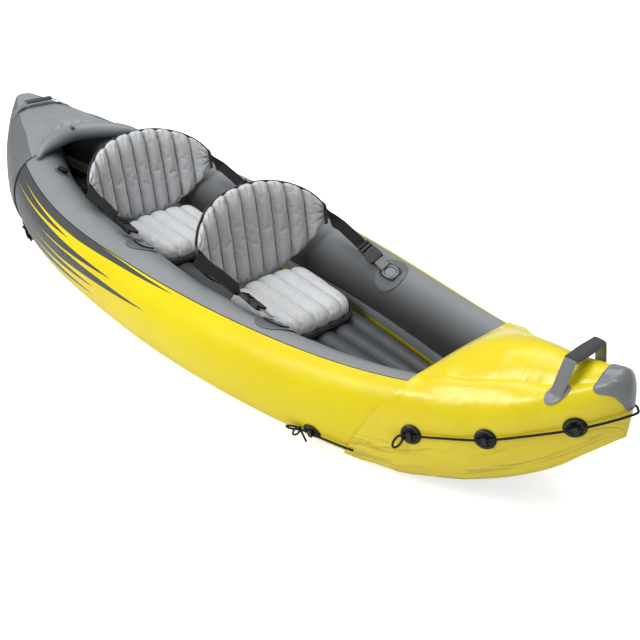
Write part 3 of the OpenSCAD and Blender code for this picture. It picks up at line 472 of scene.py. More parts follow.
hullPrint = {
    "yellow": "#f2df0c", "yellowDeep": "#ead306", "grey": "#4f5154", "greyDeep": "#47494c",
    # top is the grey above the seam; inner is a painted shade colour for the tube's inner side
    "top": "#94989b", "topDeep": "#8b8f92", "inner": "#3f3f40", "line": "#26282a",
    "seamAft": 63.0, "seam": 77.0, "lowEdge": -161.8,
    "row": 13.0, "tip": 0.1, "spread": 0.7, "length": 0.55, "slant": 0.055,
}


def makeHullSkin():
    # outer panel from the seam round the bottom, yellow with grey needles that run forward out of a grey stern; above
    # the seam the grey darkens towards the tube's inner side as painted shade
    material, tree, shader, height, toned = coatedSkin("hullSkin", 0.36, 1.0, 0.6, Coat_Weight=0.05,
                                                       Coat_Roughness=0.3, Specular_IOR_Level=0.35)
    u, angle, _ = skinAngle(tree)
    yellow, grey, top = (toned(hullPrint[key + "Deep"], hullPrint[key]) for key in ("yellow", "grey", "top"))
    seam = ramp(tree, u, -0.6, 0.9, hullPrint["seamAft"], hullPrint["seam"])
    over = calc(tree, "SUBTRACT", angle, seam)
    rows = calc(tree, "DIVIDE", over, -hullPrint["row"])
    row = calc(tree, "FLOOR", rows)
    across = calc(tree, "ABSOLUTE", calc(tree, "SUBTRACT", calc(tree, "FRACT", rows), 0.5))
    chance = addNode(tree, "ShaderNodeTexWhiteNoise", {"W": calc(tree, "ADD", row, 3.0)},
                     noise_dimensions="1D").outputs[0]
    first = hullPrint["tip"] - hullPrint["spread"] / 2
    tip = calc(tree, "ADD", calc(tree, "MULTIPLY_ADD", chance, hullPrint["spread"], first),
               calc(tree, "MULTIPLY", rows, -hullPrint["slant"]))
    run = calc(tree, "DIVIDE", calc(tree, "SUBTRACT", tip, u), hullPrint["length"], clamp=True)
    half = calc(tree, "MULTIPLY", calc(tree, "POWER", run, 0.75), 0.52)
    needle = calc(tree, "MULTIPLY", calc(tree, "SUBTRACT", half, across), 60.0, clamp=True)
    panel = mixColour(tree, needle, yellow, grey)
    outer = calc(tree, "MULTIPLY", ramp(tree, over, 0.3, -0.3),
                 ramp(tree, angle, hullPrint["lowEdge"] - 0.3, hullPrint["lowEdge"] + 0.3))
    # painted shade: from 86 to 168 degrees the grey turns from the top colour to the dark inner colour, standing in for
    # the shade inside the boat
    shade = ramp(tree, angle, 86.0, 168.0)
    colour = mixColour(tree, outer, mixColour(tree, shade, top, tint(hullPrint["inner"])), panel)
    off = calc(tree, "ABSOLUTE", over)
    line = ramp(tree, off, 0.9, 0.5)
    colour = mixColour(tree, line, colour, tint(hullPrint["line"]))
    tree.links.new(colour, shader.inputs["Base Color"])
    band = ramp(tree, off, 5.0, 4.4)  # welded overlap each side of the seam
    height = calc(tree, "MULTIPLY_ADD", band, 0.0006, height)
    bump(tree, shader, calc(tree, "MULTIPLY_ADD", line, -0.0012, height))
    return material


def makeBowSkin():
    # glossy yellow cover, creased along its lower skirt, with painted shade in the creases; v is the angle as on the
    # hull
    material, tree, shader, height, toned = coatedSkin("bowSkin", 0.26, 0.35, 0.9, Coat_Weight=0.3, Coat_Roughness=0.22)
    u, angle, v = skinAngle(tree)
    crease = useGroup(tree, crinkleGroup, Along=calc(tree, "MULTIPLY", u, 6.0), Across=calc(tree, "MULTIPLY", v, 40.0))
    crease = calc(tree, "MULTIPLY", crease["Mask"], ramp(tree, angle, 14.0, -22.0))
    hem = ramp(tree, calc(tree, "ABSOLUTE", calc(tree, "ADD", angle, 50.0)), 0.8, 0.4)
    # painted shade: the creases are darkened towards a deep yellow, together with a darker hem line
    shade = calc(tree, "MULTIPLY", calc(tree, "MAXIMUM", crease, hem), 0.45)
    yellow = mixColour(tree, shade, toned("#efd80e", "#f6e214"), tint("#b8960c"))
    tree.links.new(yellow, shader.inputs["Base Color"])
    bump(tree, shader, calc(tree, "MULTIPLY_ADD", crease, -0.003, height))
    return material


def makeSternSkin():
    # grey deck panel with darker side panels below the seam; v is the angle as on the hull
    material, tree, shader, height, toned = coatedSkin("sternSkin", 0.42, 1.0, 0.9, 0.1, Coat_Weight=0.05,
                                                       Coat_Roughness=0.35)
    angle = skinAngle(tree)[1]
    deck, flank = toned("#8e9398", "#9aa0a5"), toned("#696e72", "#73787c")
    side = ramp(tree, angle, 79.0, 77.5)
    line = ramp(tree, calc(tree, "ABSOLUTE", calc(tree, "SUBTRACT", angle, 78.2)), 1.6, 0.7)
    tree.links.new(mixColour(tree, side, deck, flank), shader.inputs["Base Color"])
    bump(tree, shader, calc(tree, "MULTIPLY_ADD", line, -0.0008, height))
    return material


def makeWebbing(name, colour, pitch, rough, stitchColour=None, edge=None):
    # woven strap; u is metres along it, v metres across from its middle line; rows of stitches near each edge
    material, tree, shader = newMaterial(name, Sheen_Weight=0.06, Sheen_Roughness=0.5, Specular_IOR_Level=0.2)
    u, v = skinUv(tree)
    weave = useGroup(tree, weaveGroup, Along=u, Across=v, Pitch=pitch)
    base = np.array(tint(colour)[:3])
    shade = mixColour(tree, weave["Shade"], (*(base * 0.55), 1), (*(base * 1.12), 1))
    height = calc(tree, "MULTIPLY", weave["Height"], 0.0004)
    if stitchColour:
        row = useGroup(tree, stitchGroup, Along=u, Distance=calc(tree, "SUBTRACT", calc(tree, "ABSOLUTE", v), edge))
        shade = mixColour(tree, row["Mask"], shade, tint(stitchColour))
        height = calc(tree, "MULTIPLY_ADD", row["Mask"], 0.0006, height)
    tree.links.new(shade, shader.inputs["Base Color"])
    fuzz = noiseAt(tree, objectPlace(tree), 300, 3, 0.6)
    tree.links.new(calc(tree, "MULTIPLY_ADD", fuzz, 0.15, rough - 0.07), shader.inputs["Roughness"])
    bump(tree, shader, height)
    return material


def makeSeatSkin():
    # pale coated fabric; v is metres to the nearest welded seam, so the welds are darker and flat: a dark weld line
    # together with painted shade of the sunken weld valleys
    material, tree, shader, height, toned = coatedSkin("seatSkin", 0.46, 1.4, 0.35, Sheen_Weight=0.08,
                                                       Sheen_Roughness=0.4)
    # painted shade with the weld line: darker towards each weld
    weld = ramp(tree, skinUv(tree)[1], 0.0022, 0.0008)
    tree.links.new(mixColour(tree, weld, toned("#c6c8ca", "#cfd1d3"), tint("#6d6f71")), shader.inputs["Base Color"])
    bump(tree, shader, calc(tree, "MULTIPLY_ADD", weld, -0.0012, height))
    return material


def makeBacking():
    # dark woven backing; u and v in metres
    material, tree, shader = newMaterial("seatBacking", Sheen_Weight=0.06, Sheen_Roughness=0.5, Specular_IOR_Level=0.25)
    u, v = skinUv(tree)
    weave = useGroup(tree, weaveGroup, Along=u, Across=v, Pitch=0.0012)
    shade = mixColour(tree, weave["Shade"], tint("#2a2b2d"), tint("#4a4c4f"))
    tree.links.new(shade, shader.inputs["Base Color"])
    tree.links.new(calc(tree, "MULTIPLY_ADD", noiseAt(tree, objectPlace(tree), 220, 3), 0.16, 0.55),
                   shader.inputs["Roughness"])
    bump(tree, shader, calc(tree, "MULTIPLY", weave["Height"], 0.0003))
    return material


def makeRopeSkin():
    # braided sheath: two families of strands that cross; u metres along, v turns round
    material, tree, shader = newMaterial("ropeBraid", Sheen_Weight=0.06, Sheen_Roughness=0.5, Specular_IOR_Level=0.25)
    u, v = skinUv(tree)
    turn = calc(tree, "MULTIPLY", v, 6.0)
    pitch = calc(tree, "DIVIDE", u, 0.0034)
    strands = [calc(tree, "MULTIPLY", calc(tree, way, pitch, turn), math.pi) for way in ("ADD", "SUBTRACT")]
    braid = calc(tree, "MAXIMUM", *(calc(tree, "ABSOLUTE", calc(tree, "SINE", strand)) for strand in strands))
    tree.links.new(mixColour(tree, braid, tint("#060607"), tint("#19191b")), shader.inputs["Base Color"])
    tree.links.new(calc(tree, "MULTIPLY_ADD", braid, -0.12, 0.68), shader.inputs["Roughness"])
    bump(tree, shader, calc(tree, "MULTIPLY", braid, 0.0005))
    return material


def makePlastic(name, colour, worn, rough):
    # moulded plastic: fine spark texture, paler rubbed patches
    material, tree, shader = newMaterial(name)
    place = objectPlace(tree)
    spark = noiseAt(tree, place, 1400, 2, 0.6)
    rub = ramp(tree, noiseAt(tree, place, 70, 5, 0.7), 0.52, 0.75)
    tree.links.new(mixColour(tree, rub, tint(colour), tint(worn)), shader.inputs["Base Color"])
    tree.links.new(calc(tree, "MULTIPLY_ADD", rub, 0.12, rough), shader.inputs["Roughness"])
    bump(tree, shader, calc(tree, "MULTIPLY", spark, 0.00008))
    return material


def makePlateSkin():
    # pale moulded plate outlined in black; u and v are metres from its middle
    material, tree, shader = newMaterial("plateSkin", Roughness=0.4)
    u, v = skinUv(tree)
    power = 1 / plateShape["round"]
    parts = [calc(tree, "POWER", calc(tree, "DIVIDE", calc(tree, "ABSOLUTE", at), plateShape[size] / 2), power)
             for at, size in ((u, "length"), (v, "width"))]
    share = calc(tree, "POWER", calc(tree, "ADD", *parts), plateShape["round"])
    groove = calc(tree, "ABSOLUTE", calc(tree, "SUBTRACT", share, 0.65))
    edge = calc(tree, "MAXIMUM", ramp(tree, share, 0.88, 0.92), ramp(tree, groove, 0.05, 0.03))
    tree.links.new(mixColour(tree, edge, tint("#8b8f93"), tint("#1b1c1e")), shader.inputs["Base Color"])
    bump(tree, shader, calc(tree, "MULTIPLY", noiseAt(tree, objectPlace(tree), 1400, 2, 0.6), 0.00008))
    return material


plateShape = {"length": 0.074, "width": 0.052, "round": 0.45}
hullSkin = makeHullSkin()
plateSkin = makePlateSkin()
sternSkin = makeSternSkin()
bowSkin = makeBowSkin()
greySkin = vinyl("greySkin", "#92979c", "#878c90", 0.4, slack=0.7, coat=0.08)
patchSkin = vinyl("patchSkin", "#85898c", "#7a7e81", 0.28, grain=0.4, slack=1.6, coat=0.4)
tubeGrey = vinyl("tubeGrey", "#6c7073", "#64686b", 0.36, slack=0.6, coat=0.12)
bottomSkin = vinyl("bottomSkin", "#4b4e51", "#424548", 0.5)
floorSkin = vinyl("floorSkin", "#45484b", "#3c3f42", 0.4, slack=0.6, coat=0.08)
seatSkin = makeSeatSkin()
seatBacking = makeBacking()
blackWebbing = makeWebbing("blackWebbing", "#17181a", 0.0018, 0.6, "#2c2d2f", 0.0150)
greyWebbing = makeWebbing("greyWebbing", "#8b8e91", 0.0016, 0.55, "#8b8e91", 0.0115)
gripWrap = makeWebbing("gripWrap", "#4c4e52", 0.0014, 0.5, "#8d9094", 0.0095)
ropeBraid = makeRopeSkin()
blackPlastic = makePlastic("blackPlastic", "#0d0d0f", "#1b1c1e", 0.34)
greyPlastic = makePlastic("greyPlastic", "#5d6165", "#74787c", 0.36)
print("materials ready")


# Air chambers
tube = {"stations": 230, "stem": 8, "sides": 112, "pucker": 0.0016}


def makeTube(side, name):
    stern, bow = stemStations(1, 0, tube["stem"]), stemStations(0, 0, tube["stem"])
    x = np.concatenate([-stern[::-1], np.linspace(-stern[0], bow[0], tube["stations"])[1:-1], bow])[:, None]
    a = np.linspace(-math.pi, math.pi, tube["sides"] + 1)[None, :]
    inner = smooth(0.2, -0.6, np.cos(a))
    bend = smooth(0.35, 0.8, np.abs(x)) * smooth(1.25, 1.05, np.abs(x))
    pucker = tube["pucker"] * inner * bend * (creases(x * 16, a * 0.9, 3 + side) - 0.6)
    lump = 0.001 * (ripple(x * 5, a * 1.2, 8 + side) - 0.5) * smooth(1.3, 1.1, np.abs(x))
    grid = skinAt(x, a, 0, side) + (pucker + lump)[..., None] * skinNormal(x, a, 0, side)
    u = np.broadcast_to(x, grid.shape[:2])
    v = np.broadcast_to(a / (2 * math.pi), grid.shape[:2])
    mesh = makeMesh(name, grid[:, :-1], np.stack([u, v], -1))
    addPiece(name, mesh, hullSkin, "hull", [name.replace("Tube", "_chamber")])


makeTube(-1, "starboardTube")
makeTube(1, "portTube")

bottom = {"stern": -1.4691, "bow": 1.4491, "wall": 0.003, "rows": 160, "cols": 12}


def makeBottom():
    x = np.linspace(bottom["stern"], bottom["bow"], bottom["rows"])[:, None]
    f = np.linspace(-1, 1, bottom["cols"])[None, :]
    y, z = tubeY(x) * f, np.broadcast_to(keelZ(x), (bottom["rows"], bottom["cols"]))
    x = np.broadcast_to(x, y.shape)
    upper, under = np.stack([x, y, z + bottom["wall"]], -1), np.stack([x, y, z], -1)
    mesh = makeMesh("bottomSheet", sheetRings(upper, under), sheetUv(x, y), "zip", "zip", 40)
    addPiece("bottomSheet", mesh, bottomSkin, "hull", ["bottom_sheet"])


makeBottom()

beams = {"stern": -1.1424, "bow": 1.3076, "level": 0.1159, "thin": 0.0728, "foot": 0.0039, "channel": 0.017, "count": 5,
         "gap": 0.003, "edge": 0.026, "rows": 300, "steps": 18}


def channelOf(f, count):  # height of a row of inflated channels, from 0 in the welds to 1 on the crests
    return np.abs(np.sin(math.pi * f * count)) ** 0.55


def makeFloor():
    x = np.linspace(beams["stern"], beams["bow"], beams["rows"])[:, None]
    f = np.linspace(-1, 1, beams["count"] * beams["steps"] + 1)[None, :]
    foot = keelZ(x) + beams["foot"]
    tall = np.maximum(beams["level"] - foot, beams["thin"])
    half = tubeY(x) - tubeR(x) * chord(x, foot + tall) - beams["gap"]
    crest = channelOf((f + 1) / 2, beams["count"])
    share = (2 * x - beams["stern"] - beams["bow"]) / (beams["bow"] - beams["stern"])
    close = np.sqrt(np.clip(1 - np.abs(share) ** 26, 0, 1))
    wander = 5 * ripple(x * 20, f * 9, 4)
    pucker = 0.0011 * np.sin(x * 2 * math.pi / 0.026 + wander) * np.exp(-crest / 0.3) * (crest > 0.02)
    lump = 0.002 * (ripple(x * 4, f * 4, 6) - 0.5)
    drop = beams["edge"] * smooth(0.84, 1, np.abs(f)) ** 2
    top = tall - beams["channel"] * (1 - crest) - drop + pucker + lump
    z = foot + np.maximum(0.02, top * mix(0.35, 1, close))
    y = half * f
    x = np.broadcast_to(x, y.shape)
    under = np.stack([x, y, np.broadcast_to(foot, y.shape)], -1)
    mesh = makeMesh("beamFloor", sheetRings(np.stack([x, y, z], -1), under), sheetUv(x, y), "zip", "zip", 50)
    addPiece("beamFloor", mesh, floorSkin, "hull", ["beam_floor"])


makeFloor()
print("hull and floor made")

# Covers over bow and stern
cover = {"out": 0.0049, "gap": 0.0024, "low": -60.0, "seam": 60.0, "arc": 44, "deck": 47, "rows": 84, "stem": 10}
bowDeck = {"edge": 1.09, "sweep": 0.15, "tip": 1.56, "crown": 0.06, "peak": 0.7, "floor": 0.002}
sternDeck = {"edge": 1.066, "corner": 0.94, "sweep": 0.126, "skirt": 0.04, "crown": 0.028, "length": 0.494}
bowAnchors = np.array([[1.150, 0.212], [1.315, 0.264], [1.478, 0.350]])
sternAnchors = np.array([[1.170, 0.150], [1.310, 0.215], [1.495, 0.300]])
handles = {"bow": 1.42, "stern": -1.36, "angle": 66.0, "disc": 0.022}


def coverColumns():  # angle, deck share and side of each column, from the starboard skirt over to the port one
    a = np.linspace(cover["low"], 90, cover["arc"] + 1)[:-1] * deg
    f = np.linspace(1, -1, cover["deck"] + 1)
    angle = np.concatenate([a, np.full(len(f), math.pi / 2), a[::-1]])
    share = np.concatenate([np.ones(len(a)), f, -np.ones(len(a))])
    deck = np.concatenate([np.zeros(len(a), bool), np.ones(len(f), bool), np.zeros(len(a), bool)])
    return angle[None, :], share[None, :], deck[None, :]


def coverAt(x, angle, share, deck, d, crown):
    arc = np.where((share > 0)[..., None], skinAt(x, angle, d, -1), skinAt(x, angle, d, 1))
    top = np.stack([x, -tubeY(x, d) * share, crownZ(x, d) + crown(x) * (1 - share ** 2)], -1)
    return np.where(deck[..., None], top, arc)


def coverStations(edge, end, d):  # rows from each column's edge to the stem, then round it
    f = (1 - (1 - np.arange(cover["rows"]) / cover["rows"]) ** 1.35)[:, None]
    stem = stemStations(end, d, cover["stem"])
    return np.concatenate([mix(edge, stem[0], f), np.broadcast_to(stem[:, None], (len(stem), edge.shape[1]))])


def calmNear(points, spots, size):  # 0 at each spot and 1 away from it, so that fittings lie flat
    calm = np.ones(points.shape[:2])
    for spot in spots:
        calm = calm * (1 - np.exp(-(np.linalg.norm(points - spot, axis=-1) / size) ** 4))
    return calm


def fittingSpots(end, anchors, handleX):
    spots = [sideAt(end * x, z, cover["out"], side) for x, z in anchors for side in (-1, 1)]
    return spots + [skinAt(handleX, handles["angle"] * deg, cover["out"], side) for side in (-1, 1)]


def bowCrown(x):
    run = np.clip((x - bowDeck["edge"]) / (bowDeck["tip"] - bowDeck["edge"]), 0, 1)
    return bowDeck["floor"] + bowDeck["crown"] * np.sin(math.pi * run ** bowDeck["peak"])


def sternCrown(x):
    run = np.clip((np.abs(x) - sternDeck["edge"]) / sternDeck["length"], 0, 1)
    return bowDeck["floor"] + sternDeck["crown"] * (1 - run) ** 2


def coverRun(angle, share):  # metres across the cover from its middle line
    return np.sign(-share) * (0.16 * np.abs(share) + 0.131 * (math.pi / 2 - angle))


def coverMesh(name, x, xUnder, columns, crown, lift):
    angle, share, deck = columns
    upper = coverAt(x, angle, share, deck, cover["out"], crown)
    under = coverAt(xUnder, angle, share, deck, cover["gap"], crown)
    outward = unit(coverAt(x, angle, share, deck, cover["out"] + 0.004, crown) - upper + [0, 0, 1e-9])
    amount = lift(upper)[..., None] * outward
    turn = np.where(deck, 0.25 + 0.03 * (1 - np.abs(share)), angle / (2 * math.pi))
    return makeMesh(name, sheetRings(upper + amount, under + amount),
                    sheetUv(x, np.broadcast_to(turn, x.shape)), "zip", "tip", 40)


def skirtX(end, a):  # station of a cover's skirt edge at the angle a in degrees
    if end > 0:
        return bowDeck["edge"] - bowDeck["sweep"] * np.maximum(0, cover["seam"] - a) / (cover["seam"] - cover["low"])
    return sternDeck["corner"] - sternDeck["skirt"] * (90 - a) / (90 - cover["low"])


def makeBowCover():
    columns = coverColumns()
    angle, share, deck = columns
    run = coverRun(angle, share)
    uneven = 0.004 * (ripple(run * 14, 0 * run, 2) - 0.5) * ~deck
    edge = np.where(deck, bowDeck["edge"], skirtX(1, angle / deg)) + uneven

    def lift(p):
        x = p[..., 0]
        back = x - edge
        low = smooth(10, -55, angle / deg)
        folds = 0.006 * creases(x * 5, run * 22, 11, 4) * low
        deckFolds = 0.003 * creases(x * 7 + run * 3, run * 6 - x * 2, 17, 4) * smooth(1.5, 1.35, x)
        flap = 0.020 * np.exp(-((back - 0.045) / 0.04) ** 2 - ((angle / deg - 38) / 22) ** 2) * (share < 0) * ~deck
        hem = 0.0009 * smooth(0.02, 0.016, back) + 0.0009 * smooth(-56.5, -58, angle / deg) * ~deck
        puffed = 0.010 * smooth(0, 0.08, back) * smooth(1.4, 1.3, x) * smooth(60, 90, angle / deg)
        calm = calmNear(p, fittingSpots(1, bowAnchors, handles["bow"]), 0.045) * smooth(1.5, 1.46, x)
        return (folds + deckFolds + flap + puffed) * calm + hem * smooth(1.5, 1.46, x)

    mesh = coverMesh("bowCover", coverStations(edge, 0, cover["out"]), coverStations(edge, 0, cover["gap"]),
                     columns, bowCrown, lift)
    addPiece("bowCover", mesh, bowSkin, "hull", ["bow_cover"])


def sternRim(share):  # the deck's edge is a parabola across the boat, found by a few steps
    corner = tubeY(-sternDeck["corner"], cover["out"])
    x = np.full_like(share, sternDeck["corner"])
    for _ in range(5):
        x = sternDeck["edge"] - sternDeck["sweep"] * (share * tubeY(-x, cover["out"]) / corner) ** 2
    return x


def makeSternCover():
    columns = coverColumns()
    angle, share, deck = columns
    run = coverRun(angle, share)
    edge = np.where(deck, sternRim(share), skirtX(-1, angle / deg))

    def lift(p):
        x = np.abs(p[..., 0])
        back = x - edge
        gather = np.exp(-back / 0.06) * smooth(0, 0.02, back)
        wander = 5 * ripple(run * 9, back * 6, 23)
        folds = 0.009 * (1 + np.sin(run * 2 * math.pi / 0.045 + wander)) * gather * deck
        slack = 0.005 * creases(x * 5 + run * 3, run * 7, 29, 4) * smooth(1.5, 1.3, x) * smooth(0, 0.03, back)
        low = 0.003 * creases(x * 5, run * 20, 31, 4) * smooth(10, -55, angle / deg)
        hem = 0.0009 * smooth(-56.5, -58, angle / deg) * ~deck
        calm = calmNear(p, fittingSpots(-1, sternAnchors, handles["stern"]), 0.045) * smooth(1.5, 1.44, x)
        return (folds + slack + low) * calm + hem * smooth(1.5, 1.46, x)

    mesh = coverMesh("sternCover", -coverStations(edge, 1, cover["out"]), -coverStations(edge, 1, cover["gap"]),
                     columns, sternCrown, lift)
    addPiece("sternCover", mesh, sternSkin, "hull", ["stern_cover"])


makeBowCover()
makeSternCover()


# Profiles carried along paths
def turnedRings(path, radius, sides, up=(0, 0, 1), spin=0.0):
    # circle of the given radius in the plane across the path; spin turns it along the way
    path = np.asarray(path, float)
    along = unit(np.gradient(path, axis=0))
    w = unit(np.cross(np.asarray(up, float), along))
    n = np.cross(along, w)
    a = np.linspace(0, 2 * math.pi, sides + 1)[None, :] + np.asarray(spin)[..., None]
    r = np.broadcast_to(np.asarray(radius), (len(path), sides + 1) if np.ndim(radius) == 2 else (len(path),))
    r = r[:, :, None] if r.ndim == 2 else r[:, None, None]
    return path[:, None] + r * (np.cos(a)[..., None] * w[:, None] + np.sin(a)[..., None] * n[:, None])


def runOf(path):  # metres along the path at each point
    return np.concatenate([[0], np.cumsum(np.linalg.norm(np.diff(path, axis=0), axis=1))])


def roundedPower(x, power):  # a power of the size with the sign kept, for superellipses
    return np.sign(x) * np.abs(x) ** power


def evenly(path, step):  # the same path with points a fixed step apart
    path = np.asarray(path, float)
    s = runOf(path)
    t = np.linspace(0, s[-1], max(8, int(s[-1] / step)))
    return np.stack([np.interp(t, s, path[:, k]) for k in range(3)], 1), t


def curveThrough(points, count):  # Catmull-Rom curve through the points
    p = np.asarray(points, float)
    p = np.concatenate([[2 * p[0] - p[1]], p, [2 * p[-1] - p[-2]]])
    t = np.linspace(0, len(p) - 3 - 1e-9, count)
    i = np.floor(t).astype(int)
    f = (t - i)[:, None]
    a, b, c, d = p[i], p[i + 1], p[i + 2], p[i + 3]
    return 0.5 * (2 * b + (c - a) * f + (2 * a - 5 * b + 4 * c - d) * f ** 2 + (3 * b - a - 3 * c + d) * f ** 3)


cowl = {"span": 1.14, "radius": 0.036, "endRadius": 0.008, "lift": 0.028, "gap": 0.0019, "patchGap": 0.00099,
        "rings": 120, "sides": 40}


def makeCowl():
    # tube in front of the stern deck's edge: radius falls with the fourth power, height with the sixth
    t = np.linspace(-1, 1, cowl["rings"])
    cornerY = tubeY(-sternDeck["corner"], cover["out"])

    def rim(f):
        return np.stack([sternDeck["sweep"] * f * f - sternDeck["edge"], f * cornerY], -1)

    f = t * cowl["span"]
    r = mix(cowl["radius"], cowl["endRadius"], t ** 4)
    along = unit(rim(f + 0.02) - rim(f - 0.02))
    plan = rim(f) + (r + cowl["gap"])[:, None] * np.stack([along[:, 1], -along[:, 0]], -1)
    level = crownZ(-sternDeck["corner"]) + cowl["lift"]
    z = mix(level, topZ(plan[:, 0], plan[:, 1]) + r + cowl["patchGap"], t ** 6)
    path = np.column_stack([plan, z])
    a = np.linspace(0, 2 * math.pi, cowl["sides"] + 1)[None, :]
    pinch = 0.0012 * creases(t[:, None] * 9, a, 41) * smooth(0.35, 0.95, np.abs(t))[:, None]
    pinch = pinch * smooth(0, 0.4, np.abs(a - math.pi))
    rings = turnedRings(path, r[:, None] - pinch, cowl["sides"])
    mesh = makeMesh("sternCowl", rings[:, :-1], np.stack(np.broadcast_arrays(t[:, None], a / (2 * math.pi)), -1))
    addPiece("sternCowl", mesh, greySkin, "hull", ["stern_cowl"])


makeCowl()

nose = {"low": 40.0, "length": 0.074, "least": 0.004, "foot": 0.405, "inner": 0.00589, "outer": 0.00749, "rows": 40}


def makeNose():
    # oval cap on the cover's own surface: its length falls down each flank as a quarter ellipse, its foot is level
    angle, share, deck = coverColumns()
    drop = np.where(deck, 0, (math.pi / 2 - angle) / (math.pi / 2 - cover["low"] * deg))
    angle = math.pi / 2 - drop * (90 - nose["low"]) * deg
    f = np.linspace(0, 1, nose["rows"])[:, None]

    def face(d):
        near, far = np.full(angle.shape, bowDeck["tip"] - 0.06), np.full(angle.shape, stemStations(0, d, 1)[-1])
        for _ in range(30):  # halve the span until it holds the foot's level
            middle = (near + far) / 2
            above = coverAt(middle, angle, share, deck, d, bowCrown)[..., 2] > nose["foot"]
            near, far = np.where(above, middle, near), np.where(above, far, middle)
        edge = near - mix(nose["least"], nose["length"], np.sqrt(1 - drop ** 3.5))
        x = mix(edge, near, 1 - (1 - f) ** 2)
        return x, coverAt(x, angle, share, deck, d, bowCrown)

    x, upper = face(nose["outer"])
    mesh = makeMesh("nosePatch", sheetRings(upper, face(nose["inner"])[1]), sheetUv(x, np.broadcast_to(drop, x.shape)),
                    "zip", "zip", 40)
    addPiece("nosePatch", mesh, patchSkin, "hull", ["nose_patch"])


makeNose()
print("covers made")


def patchMesh(name, x, a, r, inner, outer, side, rim=0.0006):
    # round patch on the tube's skin: a low raised ring inside its rounded edge
    top = np.array([0.02, 0.3, 0.6, 0.78, 0.84, 0.9, 0.95, 0.98, 1.0])
    rise = np.array([1, 1, 1, 1, 1 + rim / (outer - inner), 1 + rim / (outer - inner), 1, 0.9, 0.5])
    rho = np.concatenate([top, [0.98, 0.5, 0.02]])
    d = inner + (outer - inner) * np.concatenate([rise, [0, 0, 0]])
    phi = np.linspace(0, 2 * math.pi, 65)[None, :]
    px = x + r * rho[:, None] * np.cos(phi)
    pa = a - side * r * rho[:, None] * np.sin(phi) / tubeR(x)
    base = skinAt(px, pa, inner, side)
    grid = base + (d - inner)[:, None, None] * skinNormal(px, pa, inner, side)
    uv = np.stack(np.broadcast_arrays(r * rho[:, None] * np.cos(phi), r * rho[:, None] * np.sin(phi)), -1)
    return makeMesh(name, grid[:, :-1], uv, sharp=50)


handle = {"wall": 0.0024, "discOut": 0.00589, "gap": 0.00099, "strapW": 0.03, "strapT": 0.0022, "rise": 0.025,
          "bend": 0.008, "grip": 0.116, "gripW": 0.036, "gripT": 0.013, "sweep": 6.0}


def ribbonMesh(name, path, wide, thin):
    # flat strap: path, half-width vector and half-thickness vector for each point; v is metres from its middle
    f = np.linspace(-1, 1, 9)[None, :, None]
    middle = path[:, None] + f * wide[:, None]
    belly = (1 - 0.5 * np.abs(f) ** 6)
    upper, under = middle + thin[:, None] * belly, middle - thin[:, None] * belly
    u = np.broadcast_to(runOf(path)[:, None], middle.shape[:2])
    v = f[..., 0] * np.linalg.norm(wide, axis=1)[:, None]
    return makeMesh(name, sheetRings(upper, under), sheetUv(u, v), "zip", "zip", 50)


def deckTop(x):
    return crownZ(x, cover["out"]) + (bowCrown(x) if x > 0 else sternCrown(x))


def handleFoot(x, a):
    out = handle["discOut"] + handle["wall"] + handle["gap"] + handle["strapT"] / 2
    return skinAt(x, a * deg, out, 1)[..., 1:]


def makeHandle(end, x):
    discs = [patchMesh(end + "Disc", x, handles["angle"] * deg, handles["disc"], handle["discOut"],
                       handle["discOut"] + handle["wall"], side) for side in (-1, 1)]
    addPiece(end + "HandleDiscs", joinMeshes(end + "HandleDiscs", discs), greySkin, "hull",
             [end + "_handle_discs"])
    top, bendY = deckTop(x) + handle["rise"], handle["grip"] / 2 + handle["bend"]
    low, foot = handleFoot(x, handles["angle"] - handle["sweep"]), handleFoot(x, handles["angle"])
    half = np.array([low, foot, [mix(foot[0], bendY, 0.5), mix(foot[1], top, 0.45)], [bendY, top - handle["bend"]],
                     [bendY - handle["bend"] / 2, top - handle["bend"] / 4], [handle["grip"] / 2, top],
                     [handle["grip"] / 4, top]])
    yz = np.concatenate([half * [-1, 1], half[::-1]])
    path, _ = evenly(curveThrough(np.column_stack([np.full(len(yz), x), yz]), 160), 0.003)
    along = unit(np.gradient(path, axis=0))
    thin = np.cross(np.tile([1.0, 0, 0], (len(path), 1)), along) * handle["strapT"] / 2
    wide = np.tile([handle["strapW"] / 2, 0, 0], (len(path), 1))
    strap = addPiece(end + "HandleStrap", ribbonMesh(end + "HandleStrap", path, wide, thin), greyWebbing,
                     None, [end + "_handle_strap"])
    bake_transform(strap)
    y = np.linspace(-handle["grip"] / 2, handle["grip"] / 2, 80)
    a = np.linspace(0, 2 * math.pi, 49)[None, :]
    puff = (1 + 0.05 * np.cos(y / handle["grip"] * 2 * math.pi) + 0.03 * (ripple(y * 60, 0 * y, 5) - 0.5))[:, None]
    wrap = 1 + 0.035 * np.cos(2 * math.pi * y / 0.0145)[:, None] ** 8
    cx = handle["gripW"] / 2 * roundedPower(np.cos(a), 0.6) * puff
    cz = handle["gripT"] / 2 * roundedPower(np.sin(a), 0.8) * puff * wrap
    outer = np.stack(np.broadcast_arrays(x + cx, y[:, None], top + cz), -1)
    slot = np.stack(np.broadcast_arrays(x + 0.0154 * np.clip(1.6 * np.cos(a), -1, 1), y[:, None],
                                        top + 0.0015 * np.clip(1.6 * np.sin(a), -1, 1)), -1)
    loop = np.concatenate([outer, slot[::-1], outer[:1]])  # out along the sleeve and back through its slot
    u = np.concatenate([y, y[::-1], y[:1]])[:, None]
    v = np.abs(np.sin(a)) * handle["gripW"] / 2
    grip = makeMesh(end + "HandleGrip", loop[:, :-1], np.stack(np.broadcast_arrays(u, v), -1), None, None, 50)
    addPiece(end + "HandleGrip", grip, gripWrap, end + "_grip", [end + "_handle_grip"])


for end in ("bow", "stern"):
    makeHandle(end, handles[end])
print("handles made")

